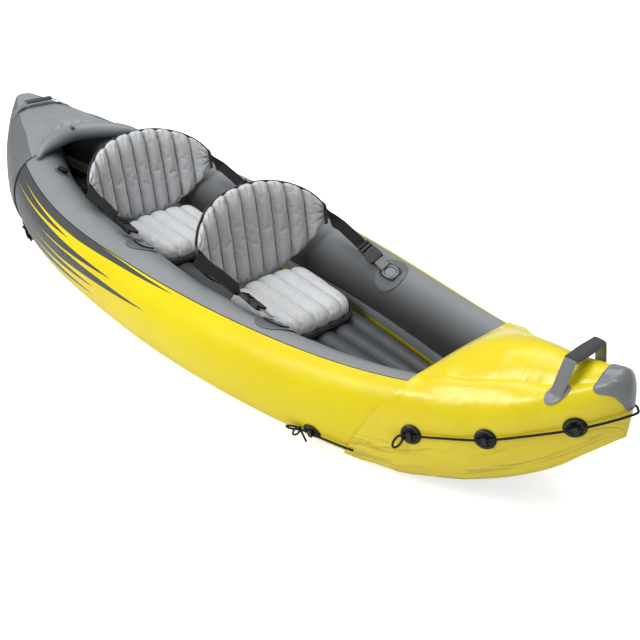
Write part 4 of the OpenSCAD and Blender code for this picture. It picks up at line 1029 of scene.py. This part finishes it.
# Grab lines and tie cords
line = {"diameter": 0.006, "lift": 0.009, "base": 0.0053, "tail": 0.014, "round": 0.010, "sides": 12, "step": 0.0025,
        "knot": 0.0042, "loop": 0.021, "loopHalf": 0.0085, "swell": 0.04, "braid": 700.0}


def ropeAt(x, z, d, side):
    return sideAt(x, z, d, side) + line["lift"] * sideNormal(x, z, d, side)


def ropeMesh(name, path):  # braided cord: its radius swells a little with each crossing of the strands
    path, s = evenly(path, line["step"])
    a = np.linspace(0, 2 * math.pi, line["sides"] + 1)[None, :]
    turn = s[:, None] * line["braid"]
    strands = 1 + line["swell"] * (np.cos(3 * a + turn) + np.cos(3 * a - turn))
    rings = turnedRings(path, line["diameter"] / 2 * strands, line["sides"], up=(0.13, 0.21, 0.97))
    uv = np.stack(np.broadcast_arrays(s[:, None], a / (2 * math.pi)), -1)
    return makeMesh(name, rings[:, :-1], uv)


loopTurn = np.linspace(0, 2 * math.pi, 40)[:, None]


def knotPath(middle, a, b, r):  # one turn of cord round the line
    return middle + r * (a * np.cos(loopTurn) + b * np.sin(loopTurn))


def loopPath(start, out, swing, size, half):  # a loop that leaves its start along out and comes back to it
    return (start + out * size * (1 - np.cos(loopTurn)) + swing * half * np.sin(loopTurn))[1:-1]


def halfRoute(end, anchors, tipZ, side):
    last = reach(line["base"]) - line["round"]
    x = np.linspace(anchors[0, 0] - line["tail"], last, 90)
    before = anchors[0] + (anchors[0] - anchors[1]) * 0.3
    knots = np.vstack([before, anchors, [reach(line["base"]), tipZ]])
    return ropeAt(end * x, np.interp(x, knots[:, 0], knots[:, 1]), line["base"], side)


def makeLine(end, name, anchors, tipZ):
    starboard, port = halfRoute(end, anchors, tipZ, -1), halfRoute(end, anchors, tipZ, 1)
    tip = np.array([[end * (reach(line["base"]) + line["lift"]), 0, tipZ]])
    rope = ropeMesh(name, curveThrough(np.concatenate([starboard, tip, port[::-1]]), 700))
    parts = [rope]
    for run, side in ((starboard, -1), (port, 1)):
        back = unit(run[0] - run[3])
        out = sideNormal(end * anchors[0, 0], anchors[0, 1], line["base"], side)
        hang = unit(np.array([0, 0, -1.0]) - out * out[2] * -1)
        knot = knotPath(run[0] + back * 0.003 + out * 0.0005, out, hang, line["knot"])
        parts.append(ropeMesh(name + "Knot", knot))
        slant = unit(hang + back * 0.55 + out * 0.15)
        swing = unit(np.cross(slant, out))
        loop = loopPath(run[0] + back * 0.004 + out * 0.001, slant, swing, line["loop"], line["loopHalf"])
        parts.append(ropeMesh(name + "Loop", loop))
    addPiece(name, joinMeshes(name, parts), ropeBraid, "hull", [("bow" if end > 0 else "stern") + "_grab_line"])


makeLine(1, "bowGrabLine", bowAnchors, 0.402)
makeLine(-1, "sternGrabLine", sternAnchors, 0.345)

ties = {"bow": (1, 0.87, 0.086), "stern": (-1, 0.85, 0.080), "tail": 0.033, "base": 0.00005, "overlap": 0.016,
        "knot": 0.0045, "loop": 0.021, "loopHalf": 0.007, "leans": (0.25, 1.1), "spare": 0.05}


def makeTies(name, end, x, z):
    parts = []
    a = math.asin((z - float(midZ(end * x))) / float(halfZ(end * x))) / deg
    stop = skirtX(end, a) + ties["overlap"]
    for side in (-1, 1):
        at = end * np.linspace(x - ties["tail"], stop, 50)
        path = ropeAt(at, np.full(len(at), z), ties["base"], side)
        parts.append(ropeMesh(name, path))
        out = sideNormal(end * (x - ties["tail"]), z, 0, side)
        back = unit(path[0] - path[4])
        down = unit(np.cross(out, back) * np.sign(np.cross(out, back)[2]) * -1)
        parts.append(ropeMesh(name + "Knot", knotPath(path[0] + back * 0.002, out, down, ties["knot"])))
        for lean in ties["leans"]:  # the two bows of the knot
            reachOut = unit(back * math.cos(lean) + down * math.sin(lean) * 0.8 + out * 0.15)
            swing = unit(np.cross(reachOut, out))
            bow = loopPath(path[0] + back * 0.003, reachOut, swing, ties["loop"], ties["loopHalf"])
            parts.append(ropeMesh(name + "Bow", bow))
        tail = path[0] + np.linspace(0, 1, 12)[:, None] * (down * ties["spare"] - back * 0.012 + out * 0.004)
        parts.append(ropeMesh(name + "End", tail))
    addPiece(name + "TieCords", joinMeshes(name + "TieCords", parts), ropeBraid, "hull", [name + "_tie_cords"])


makeTies("bow", *ties["bow"])
makeTies("stern", *ties["stern"])
print("lines made")

# Seats
seat = {
    "x": {"front": 0.215, "rear": -0.465}, "baseZ": 0.1163, "z": 0.1192, "backZ": 0.1642, "length": 0.345,
    "rearW": 0.3257, "frontW": 0.2893, "rearH": 0.088, "frontH": 0.074, "corner": 0.046, "setBack": 0.026,
    "wrap": 0.08, "rim": 0.35, "groove": 0.2, "channels": 5, "baseRim": 0.004, "baseWall": 0.0025,
    "skirt": 0.022,
}
rest = {
    "w": 0.516, "h": 0.326, "lean": math.tan(9 * deg), "lift": 0.153, "top": 0.58, "front": 0.024, "back": 0.010,
    "rim": 0.003, "valley": 0.12, "channels": 9, "shell": 1.03, "band": 0.014, "gap": 0.0004, "wall": 0.0025,
}


def padShape(s, t, p):  # fullness of a pad: 1 inside, falling to 0 at all four edges
    return np.sqrt(np.maximum(0, (1 - np.minimum(1, np.abs(s)) ** p) * (1 - np.minimum(1, np.abs(2 * t - 1)) ** p)))


def footX(sx, y):
    return sx + seat["wrap"] * (2 * y / rest["w"]) ** 2


def cushionPlan(sx, s, t, rim=0.0):
    y = (mix(seat["rearW"], seat["frontW"], t) / 2 + rim) * s
    back = footX(sx, seat["rearW"] / 2 * s) + seat["setBack"] - rim
    front = sx + seat["length"] + rim - seat["corner"] * np.abs(s) ** 6
    return mix(back, front, t), y


def restMid(sx, s, t):
    y = rest["w"] / 2 * s
    low = seat["backZ"] + rest["lift"] * np.abs(s) ** 2.5
    high = seat["backZ"] + rest["h"] * mix(np.sqrt(np.maximum(0, 1 - 0.97 * s * s)), 1, rest["top"])
    z = mix(low, high, t)
    x = sx + seat["wrap"] * np.abs(s) ** 2.7 - rest["lean"] * (z - seat["backZ"])
    return np.stack(np.broadcast_arrays(x, y, z), -1)


def weldDistance(f, count, width):  # metres to the nearest weld between channels
    return np.abs((f * count + 0.5) % 1 - 0.5) * width / count


def inflate(mesh, pinned, settings):
    # cloth under pressure, welds and back held; returns how far each point moved, capped
    piece = bpy.data.objects.new("inflating", mesh)
    scene.collection.objects.link(piece)
    group = piece.vertex_groups.new(name="held")
    group.add(np.flatnonzero(pinned).tolist(), 1.0, "REPLACE")
    cloth = piece.modifiers.new("cloth", "CLOTH")
    for key, value in settings["cloth"].items():
        setattr(cloth.settings, key, value)
    cloth.settings.vertex_group_mass = "held"
    cloth.settings.effector_weights.gravity = 0
    cloth.collision_settings.use_collision = False
    cloth.collision_settings.use_self_collision = False
    cloth.point_cache.frame_start, cloth.point_cache.frame_end = 1, settings["frames"]
    scene.frame_start, scene.frame_end = 1, settings["frames"]
    for step in range(1, settings["frames"] + 1):
        scene.frame_set(step)
    done = piece.evaluated_get(bpy.context.evaluated_depsgraph_get()).data
    before, after = (np.zeros(len(mesh.vertices) * 3, np.float32) for _ in range(2))
    mesh.vertices.foreach_get("co", before)
    done.vertices.foreach_get("co", after)
    moved = (after - before).reshape(-1, 3)
    far = np.linalg.norm(moved, axis=1, keepdims=True)
    moved *= settings["cap"] / np.maximum(far, settings["cap"])
    bpy.data.objects.remove(piece)
    scene.frame_set(1)
    print("inflated, moved up to", round(float(far.max()), 4))
    return moved


def shiftedCopy(mesh, name, dx):
    made = mesh.copy()
    made.name = name
    made.transform(Matrix.Translation((dx, 0, 0)))
    return made


puff = {
    "frames": 20, "cap": 0.008,
    "cloth": {"quality": 6, "mass": 0.25, "tension_stiffness": 30, "compression_stiffness": 30, "shear_stiffness": 12,
              "bending_stiffness": 4, "use_pressure": True, "uniform_pressure_force": 5.0, "shrink_min": -0.01},
}
pitch = seat["x"]["rear"] - seat["x"]["front"]


def finer(coarse):  # the values half way between, along both axes
    for axis in (0, 1):
        known = np.moveaxis(coarse, axis, 0)
        made = np.empty((2 * len(known) - 1, *known.shape[1:]))
        made[::2], made[1::2] = known, (known[:-1] + known[1:]) / 2
        coarse = np.moveaxis(made, 0, axis)
    return coarse


def settle(upper, under, held):
    # run the cloth on every second row and column of a pad, welds, border and back held
    few = np.s_[::2, ::2]
    rings = sheetRings(upper[few], under[few])
    pinned = sheetRings(held[few], np.ones_like(held[few]))
    moved = inflate(makeMesh("inflating", rings, None, "zip", "zip"), pinned.ravel(), puff).reshape(rings.shape)
    return upper + finer(moved[:, :upper[few].shape[1]]) * ~held[..., None]


def fold(distance, width):  # sharp fold: 1 on its line, gone a few widths away
    return np.exp(-np.abs(distance) / width)


def makeCushions():
    cols, rows = seat["channels"] * 32 + 1, 121
    s, t = np.linspace(-1, 1, cols)[None, :], np.linspace(0, 1, rows)[:, None]
    x, y = np.broadcast_arrays(*cushionPlan(seat["x"]["front"], s, t))
    height = mix(seat["rearH"], seat["frontH"], t)
    crest = channelOf((s + 1) / 2, seat["channels"])
    full = padShape(s, t, 7)
    ahead, aside = np.minimum(1 - t, t) * seat["length"], (1 - np.abs(s)) * 0.155
    edge = np.minimum(ahead, aside)
    along = np.where(ahead < aside, y, x)
    pleat = 0.0022 * (creases(along * 40, edge * 9, 51, 2) - 0.45) * np.exp(-edge / 0.022) * smooth(0, 0.006, edge)
    weld = weldDistance((s + 1) / 2, seat["channels"], 0.30)
    inner = smooth(0.95, 0.85, np.abs(s))
    tuck = fold(weld, 0.0035) * smooth(0.07, 0.012, ahead) * smooth(0, 0.008, ahead) * inner
    half = fold(weldDistance((s + 1) / 2 + 0.5 / seat["channels"] + 0.03 * t, seat["channels"], 0.30), 0.003)
    tuck = tuck + 0.45 * half * smooth(0.035, 0.010, ahead) * smooth(0, 0.008, ahead)
    x = x - np.where(t > 0.5, 0.006, -0.004) * np.exp(-(weld / 0.010) ** 2) * smooth(0.05, 0, ahead) * inner
    top = seat["z"] + height * (seat["rim"] + (1 - seat["rim"]) * full * (1 - seat["groove"] * (1 - crest)))
    under = seat["z"] + height * (seat["rim"] - 0.05) * (1 - padShape(s, t, 8))
    held = np.broadcast_to((weld < 1e-6) & (t > 0.06) & (t < 0.94), x.shape)
    held = held | np.broadcast_to((np.abs(s) > 0.999) | (t < 1e-6) | (t > 1 - 1e-6), x.shape)
    under = np.stack([x, y, np.broadcast_to(under, x.shape)], -1)
    upper = settle(np.stack([x, y, top + pleat], -1), under, held)
    upper = upper - 0.013 * tuck[..., None] * [0, 0, 1.0]
    # painted shade of the weld valleys, with the weld line: fainter on the cushion and faded out at the front and back
    # ends and at the sides
    shade = np.broadcast_to(weld + 0.0016 + 0.01 * smooth(0.93, 0.97, t) + 0.01 * smooth(0.07, 0.03, t), x.shape)
    uv = sheetUv(x, np.where(np.abs(s) > 0.97, 0.01, shade))
    mesh = makeMesh("frontCushion", sheetRings(upper, under), uv, "zip", "zip")
    for end, made in (("front", mesh), ("rear", shiftedCopy(mesh, "rearCushion", pitch))):
        piece = addPiece(end + "Cushion", made, seatSkin, "hull", [end + "_cushion"])


def makeBases():
    # flat sheet whose sides and front turn up as a gathered skirt to the cushion's widest line
    skirt = np.linspace(0, 1, 9)[1:]
    s = np.concatenate([-1 - skirt[::-1], np.linspace(-1, 1, 161), 1 + skirt])[None, :]
    t = np.concatenate([np.linspace(0, 1, 111), 1 + skirt])[:, None]
    up = np.maximum(np.clip(np.abs(s) - 1, 0, 1), np.clip(t - 1, 0, 1)) * smooth(0, 0.1, t)
    sheet = [np.clip(s, -1, 1), np.clip(t, 0, 1)]
    for end, sx in seat["x"].items():
        x, y = np.broadcast_arrays(*cushionPlan(sx, *sheet))
        gather = 0.5 + 0.9 * (creases(x * 55 + y * 20, y * 55 - x * 20, 91, 2) - 0.4) * smooth(0, 0.5, up)

        def face(rim, z):
            plan = cushionPlan(sx, *sheet, rim + 0.003 * np.sin(math.pi * up) * gather)
            level = seat["baseZ"] + z + seat["skirt"] * up * (1 - 0.08 * gather)
            return np.stack(np.broadcast_arrays(*plan, level), -1)

        grid = sheetRings(face(seat["baseRim"], seat["baseWall"]),
                          face(seat["baseRim"] + seat["baseWall"] * smooth(0, 0.2, up), 0.0))
        mesh = makeMesh(end + "SeatBase", grid, sheetUv(x + seat["skirt"] * up, y), "zip", "zip", 40)
        addPiece(end + "SeatBase", mesh, seatBacking, "hull", [end + "_seat_base"])


def makeBacks():
    cols, rows = rest["channels"] * 24 + 1, 113
    s, t = np.linspace(-1, 1, cols)[:, None], np.linspace(0, 1, rows)[None, :]
    mid = restMid(seat["x"]["front"], s, t)
    crest = channelOf((s + 1) / 2, rest["channels"])
    tall = mid[:, -1:, 2] - mid[:, :1, 2]
    upDown, aside = np.minimum(t, 1 - t) * tall, (1 - np.abs(s)) * rest["w"] / 2
    edge = np.minimum(upDown, aside)
    along = np.where(aside < upDown, mid[..., 2], mid[..., 1])
    pleat = 0.0024 * (creases(along * 40, edge * 9, 61, 2) - 0.45) * np.exp(-edge / 0.02) * smooth(0, 0.005, edge)
    weld = weldDistance((s + 1) / 2, rest["channels"], rest["w"])
    inner = smooth(0.97, 0.9, np.abs(s))
    tuck = fold(weld, 0.0035) * smooth(0.05, 0.010, upDown) * smooth(0, 0.005, upDown) * inner
    half = fold(weldDistance((s + 1) / 2 + 0.45 / rest["channels"] + 0.012 * t, rest["channels"], rest["w"]), 0.003)
    tuck = tuck + 0.8 * half * smooth(0.034, 0.008, upDown) * smooth(0, 0.005, upDown) * inner
    wing = fold(weldDistance(t + 0.04 * s, 5, 0.09), 0.0025) * smooth(0.035, 0.006, aside) * smooth(0, 0.004, aside)
    tuck = tuck + 0.7 * wing
    mid = mid.copy()
    mid[..., 2] -= np.where(t > 0.5, 0.007, -0.003) * np.exp(-(weld / 0.009) ** 2) * smooth(0.05, 0, upDown) * inner
    face = rest["rim"] + rest["front"] * padShape(s, t, 6) * mix(rest["valley"], 1, crest) + pleat
    rear = rest["rim"] + rest["back"] * (1 - s * s) * (1 - (2 * t - 1) ** 2)
    ahead = np.array([1.0, 0, 0])
    held = np.broadcast_to((weld < 1e-6) & (t > 0.06) & (t < 0.94), mid.shape[:2])
    held = held | np.broadcast_to((np.abs(s) > 0.999) | (t < 1e-6) | (t > 1 - 1e-6), mid.shape[:2])
    under = mid - rear[..., None] * ahead
    upper = settle(mid + face[..., None] * ahead, under, held)
    upper = upper - np.minimum(0.013 * tuck, 0.75 * face)[..., None] * ahead
    # painted shade of the weld valleys, with the weld line: faded out at the top and bottom ends and at the sides
    shade = weld + 0.01 * smooth(0.95, 0.98, t) + 0.01 * smooth(0.05, 0.02, t)
    uv = sheetUv(mid[..., 2], np.where(np.abs(s) > 0.98, 0.01, np.broadcast_to(shade, mid.shape[:2])))
    mesh = makeMesh("frontBack", sheetRings(upper, under), uv, "zip", "zip")
    for end, made in (("front", mesh), ("rear", shiftedCopy(mesh, "rearBack", pitch))):
        piece = addPiece(end + "Back", made, seatSkin, end + "_back", [end + "_backrest"])


def makeShells():
    # backing sheet; past the wings of the pad its edge turns forward as a gathered band
    s = np.sin(np.linspace(-math.pi / 2, math.pi / 2, 131))[:, None]
    t = np.linspace(0, 1, 61)[None, :]
    for end, sx in seat["x"].items():
        mid = restMid(sx, s, t)
        spread = np.broadcast_to((2 * t - 1) * 0.001, mid.shape[:2])
        rear = rest["rim"] + rest["back"] * (1 - s * s) * (1 - (2 * t - 1) ** 2)
        edge = np.minimum(np.minimum(t, 1 - t) * rest["h"], (1 - np.abs(s)) * rest["w"] / 2)
        pleat = 0.002 * creases(mid[..., 1] * 40, mid[..., 2] * 40, 71, 2) * np.exp(-edge / 0.014)
        gather = 1 + 0.25 * (creases(mid[..., 2] * 45, 0 * mid[..., 2], 77, 2) - 0.5)
        band = rest["band"] * smooth(0.975, 0.99, np.abs(s)) * gather

        def face(d):
            return np.stack([mid[..., 0] - rest["lean"] * spread - rear + band - d, mid[..., 1] * rest["shell"],
                             mid[..., 2] + spread], -1)

        grid = sheetRings(face(rest["gap"]), face(rest["gap"] + rest["wall"] + pleat))
        mesh = makeMesh(end + "BackShell", grid, sheetUv(mid[..., 2], mid[..., 1]), "zip", "zip", 50)
        addPiece(end + "BackShell", mesh, seatBacking, end + "_back", [end + "_backrest_shell"])


makeCushions()
makeBases()
makeBacks()
makeShells()

print("seats made")

# Seat straps, from the plate on the tube to the wing of the backrest
strap = {"reach": 0.396, "angle": 117.0, "plateBase": 0.0038, "plateH": 0.004,
         "patch": 0.059, "patchIn": 0.0024, "tab": 0.064, "start": 0.1452, "lap": 0.060, "width": 0.038, "thick": 0.002,
         "headX": 0.0494, "headZ": 0.3573, "gussetUp": 0.024, "gussetDown": 0.030,
         "lean": 0.4, "sag": 0.006, "over": 0.014, "aside": 1.3, "tabStart": 0.36}


def strapFrame(sx, side):
    x, a = sx + strap["reach"], strap["angle"] * deg
    plate, normal = skinAt(x, a, strap["plateBase"], side), skinNormal(x, a, strap["plateBase"], side)
    root = plate + (strap["plateH"] + 0.0004 + strap["thick"] / 2) * normal
    wing = rest["w"] / 2 * rest["shell"] + 0.0005 + strap["thick"] / 2
    head = np.array([sx + strap["headX"], side * wing, strap["headZ"]])
    along = unit(head - root)
    across = unit(np.cross(normal, along))
    return plate, normal, root, head, along, across, np.cross(along, across)


def makeStrap(end, sx, sideName, side):
    root, head, along, across, up = strapFrame(sx, side)[2:]
    lean = np.array([0, -strap["lean"] * side, 1.0])  # the upper edge leans inboard
    upright = unit(lean - (lean @ along) * along)
    turn = (math.atan2(upright @ up, upright @ across) + math.pi / 2) % math.pi - math.pi / 2
    begin = root + strap["start"] * along
    f = np.linspace(strap["lap"] / np.linalg.norm(head - begin), 1, 90)
    path = mix(begin, head, f[:, None])
    early = side < 0  # this side's straps turn upright at the buckle, the other side's on their way to the wing
    twist = turn * (np.ones_like(f) if early else smooth(0.5, 0.95, f))[:, None]
    w = np.cos(twist) * across + np.sin(twist) * up
    n = np.cross(along, w)
    sign = np.sign(w[-1, 2])
    grow = (smooth(0.5, 1, f) ** 1.3)[:, None]
    high = mix(strap["width"] / 2, strap["gussetUp"], grow)
    low = mix(strap["width"] / 2, strap["gussetDown"], grow)
    middle = path + sign * w * (high - low) / 2
    bow = strap["sag"] * (smooth(0.5, 0.75, f) * smooth(1, 0.8, f))[:, None] * np.array([0, 0, -1.0])
    name = end + sideName + "Strap"
    mesh = ribbonMesh(name, middle + bow, w * (high + low) / 2, n * strap["thick"] / 2)
    node = end + "_" + sideName.lower() + "_strap"
    piece = addPiece(name, mesh, blackWebbing, None, [node])
    tuple(head)
    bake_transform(piece)
    # sewn end that goes with the tongue and slides beside the strap when the buckle opens
    g = np.linspace(0, 1, 40)[:, None]
    twist = turn * early * smooth(0.02, 0.38, g)
    wide = np.cos(twist) * across + np.sin(twist) * up
    flat = np.cross(along, wide)
    aside = np.sign(flat[-1] @ [0, side, 1.0]) * strap["aside"] * strap["thick"] * smooth(0.2, 0.42, g) * flat
    lap = ribbonMesh(name + "End", begin + g * (strap["lap"] + strap["over"]) * along + aside,
                     wide * strap["width"] / 2, flat * strap["thick"] / 2)
    addPiece(name + "End", lap, blackWebbing, end + "_" + sideName.lower() + "_clip", ())


def plateMesh(name, centre, x, y, z):
    # rounded plate with a raised rim and a sunk middle, as rings from the middle out, over the edge and back below
    k = np.array([0.02, 0.5, 0.62, 0.68, 0.9, 0.97, 1.0, 1.0, 0.5, 0.02])
    h = np.array([0.5, 0.5, 0.52, 1, 1, 0.93, 0.75, 0, 0, 0]) * strap["plateH"]
    a = np.linspace(0, 2 * math.pi, 65)
    px = plateShape["length"] / 2 * roundedPower(np.cos(a), plateShape["round"])
    py = plateShape["width"] / 2 * roundedPower(np.sin(a), plateShape["round"])
    grid = centre + k[:, None, None] * (px[None, :, None] * x + py[None, :, None] * y) + h[:, None, None] * z
    uv = np.stack(np.broadcast_arrays(k[:, None] * px, k[:, None] * py), -1)
    return makeMesh(name, grid[:, :-1], uv, sharp=40)


def makePlates(end, sx):
    parts, tabs = [], []
    for side in (-1, 1):
        plate, normal, root, _, along, across, up = strapFrame(sx, side)
        x = sx + strap["reach"]
        patch = patchMesh(end + "Patch", x, strap["angle"] * deg, strap["patch"], strap["patchIn"],
                          strap["plateBase"], side, 0.0005)
        patch.materials.append(tubeGrey)
        ahead = unit(skinAt(x + 0.001, strap["angle"] * deg, strap["plateBase"], side)
                     - skinAt(x - 0.001, strap["angle"] * deg, strap["plateBase"], side))
        fixing = plateMesh(end + "Plate", plate, ahead, np.cross(normal, ahead), normal)
        fixing.materials.append(plateSkin)
        parts += [patch, fixing]
        f = np.linspace(strap["tabStart"], 1, 40)[:, None]
        path = root + f * strap["tab"] * along
        wide = np.tile(across * strap["width"] * 0.4, (40, 1))
        tabs.append(ribbonMesh(end + "Tab", path, wide, np.tile(up * strap["thick"] / 2, (40, 1))))
    addPiece(end + "StrapPatches", joinMeshes(end + "StrapPatches", parts), None, "hull",
             [end + "_strap_patches"])
    addPiece(end + "StrapTabs", joinMeshes(end + "StrapTabs", tabs), greyWebbing, "hull",
             [end + "_strap_tabs"])


for end, sx in seat["x"].items():
    makePlates(end, sx)
    makeStrap(end, sx, "Starboard", -1)
    makeStrap(end, sx, "Port", 1)
print("straps made")

# Moulded fittings keep their own solids
sides, seats = ("starboard", "port"), ("front", "rear")
fittings = {
    "black_plastic": (blackPlastic, ["bow_line_anchors", "stern_line_anchors", "bow_tie_anchors", "stern_tie_anchors",
                                     "floor_valve_cap", "skeg_shoe", "skeg"]
                      + [end + "_buckle_housings" for end in seats] + [side + "_valve_cap" for side in sides]
                      + [end + "_" + side + "_tongue" for end in seats for side in sides]),
    "grey_plastic": (greyPlastic, ["starboard_valve", "port_valve", "floor_valve", "cowl_valve", "cowl_valve_plug"]),
}
rounding = {"weld": 0.00001, "width": 0.0006, "steps": 2, "angle": 35 * deg}
for slot, (material, names) in fittings.items():
    for name in names:
        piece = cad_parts[name]
        piece.data.materials.clear()
        piece.data.materials.append(material)
        piece.modifiers.new("weld", "WELD").merge_threshold = rounding["weld"]
        bevel = piece.modifiers.new("edges", "BEVEL")
        bevel.width, bevel.segments, bevel.limit_method = rounding["width"], rounding["steps"], "ANGLE"
        bevel.angle_limit = rounding["angle"]


# Floor, light and world
stage = {"floor": 14.0, "world": 0.36, "top": 165.0, "key": 70.0, "glow": 0.7}


def makeStage():
    half = stage["floor"] / 2
    mesh = bpy.data.meshes.new("studioFloor")
    corners = [(x * half, y * half, -0.001) for x, y in ((-1, -1), (1, -1), (1, 1), (-1, 1))]
    mesh.from_pydata(corners, [], [(0, 1, 2, 3)])
    material, tree, shader = newMaterial("studioPaper", Roughness=0.9, Specular_IOR_Level=0.1)
    shader.inputs["Base Color"].default_value = (0.9, 0.9, 0.9, 1)
    shader.inputs["Emission Color"].default_value = (1, 1, 1, 1)
    seen = addNode(tree, "ShaderNodeLightPath").outputs["Is Camera Ray"]
    tree.links.new(calc(tree, "MULTIPLY", seen, stage["glow"]), shader.inputs["Emission Strength"])
    mesh.materials.append(material)
    floor = bpy.data.objects.new("studioFloor", mesh)
    scene.collection.objects.link(floor)
    world = bpy.data.worlds.new("studio")
    world.use_nodes = True
    scene.world = world
    tree = world.node_tree
    path = addNode(tree, "ShaderNodeLightPath")
    seen = calc(tree, "MAXIMUM", path.outputs["Is Camera Ray"], path.outputs["Is Transmission Ray"])
    strength = addNode(tree, "ShaderNodeMix", {0: seen, 2: stage["world"], 3: 1.0}, data_type="FLOAT").outputs[0]
    tree.nodes["Background"].inputs["Color"].default_value = (1, 1, 1, 1)
    tree.links.new(strength, tree.nodes["Background"].inputs["Strength"])
    for name, place, size, power in (("topPanel", (-0.2, 0.3, 5.0), 4.4, stage["top"]),
                                     ("keyPanel", (-0.4, -3.3, 3.0), 1.6, stage["key"])):
        light = bpy.data.lights.new(name, "AREA")
        light.size, light.energy = size, power
        lamp = bpy.data.objects.new(name, light)
        lamp.location = place
        lamp.rotation_mode = "QUATERNION"
        lamp.rotation_quaternion = Matrix.Translation(place).to_translation().to_track_quat("Z", "Y")
        scene.collection.objects.link(lamp)


makeStage()
print("stage ready")
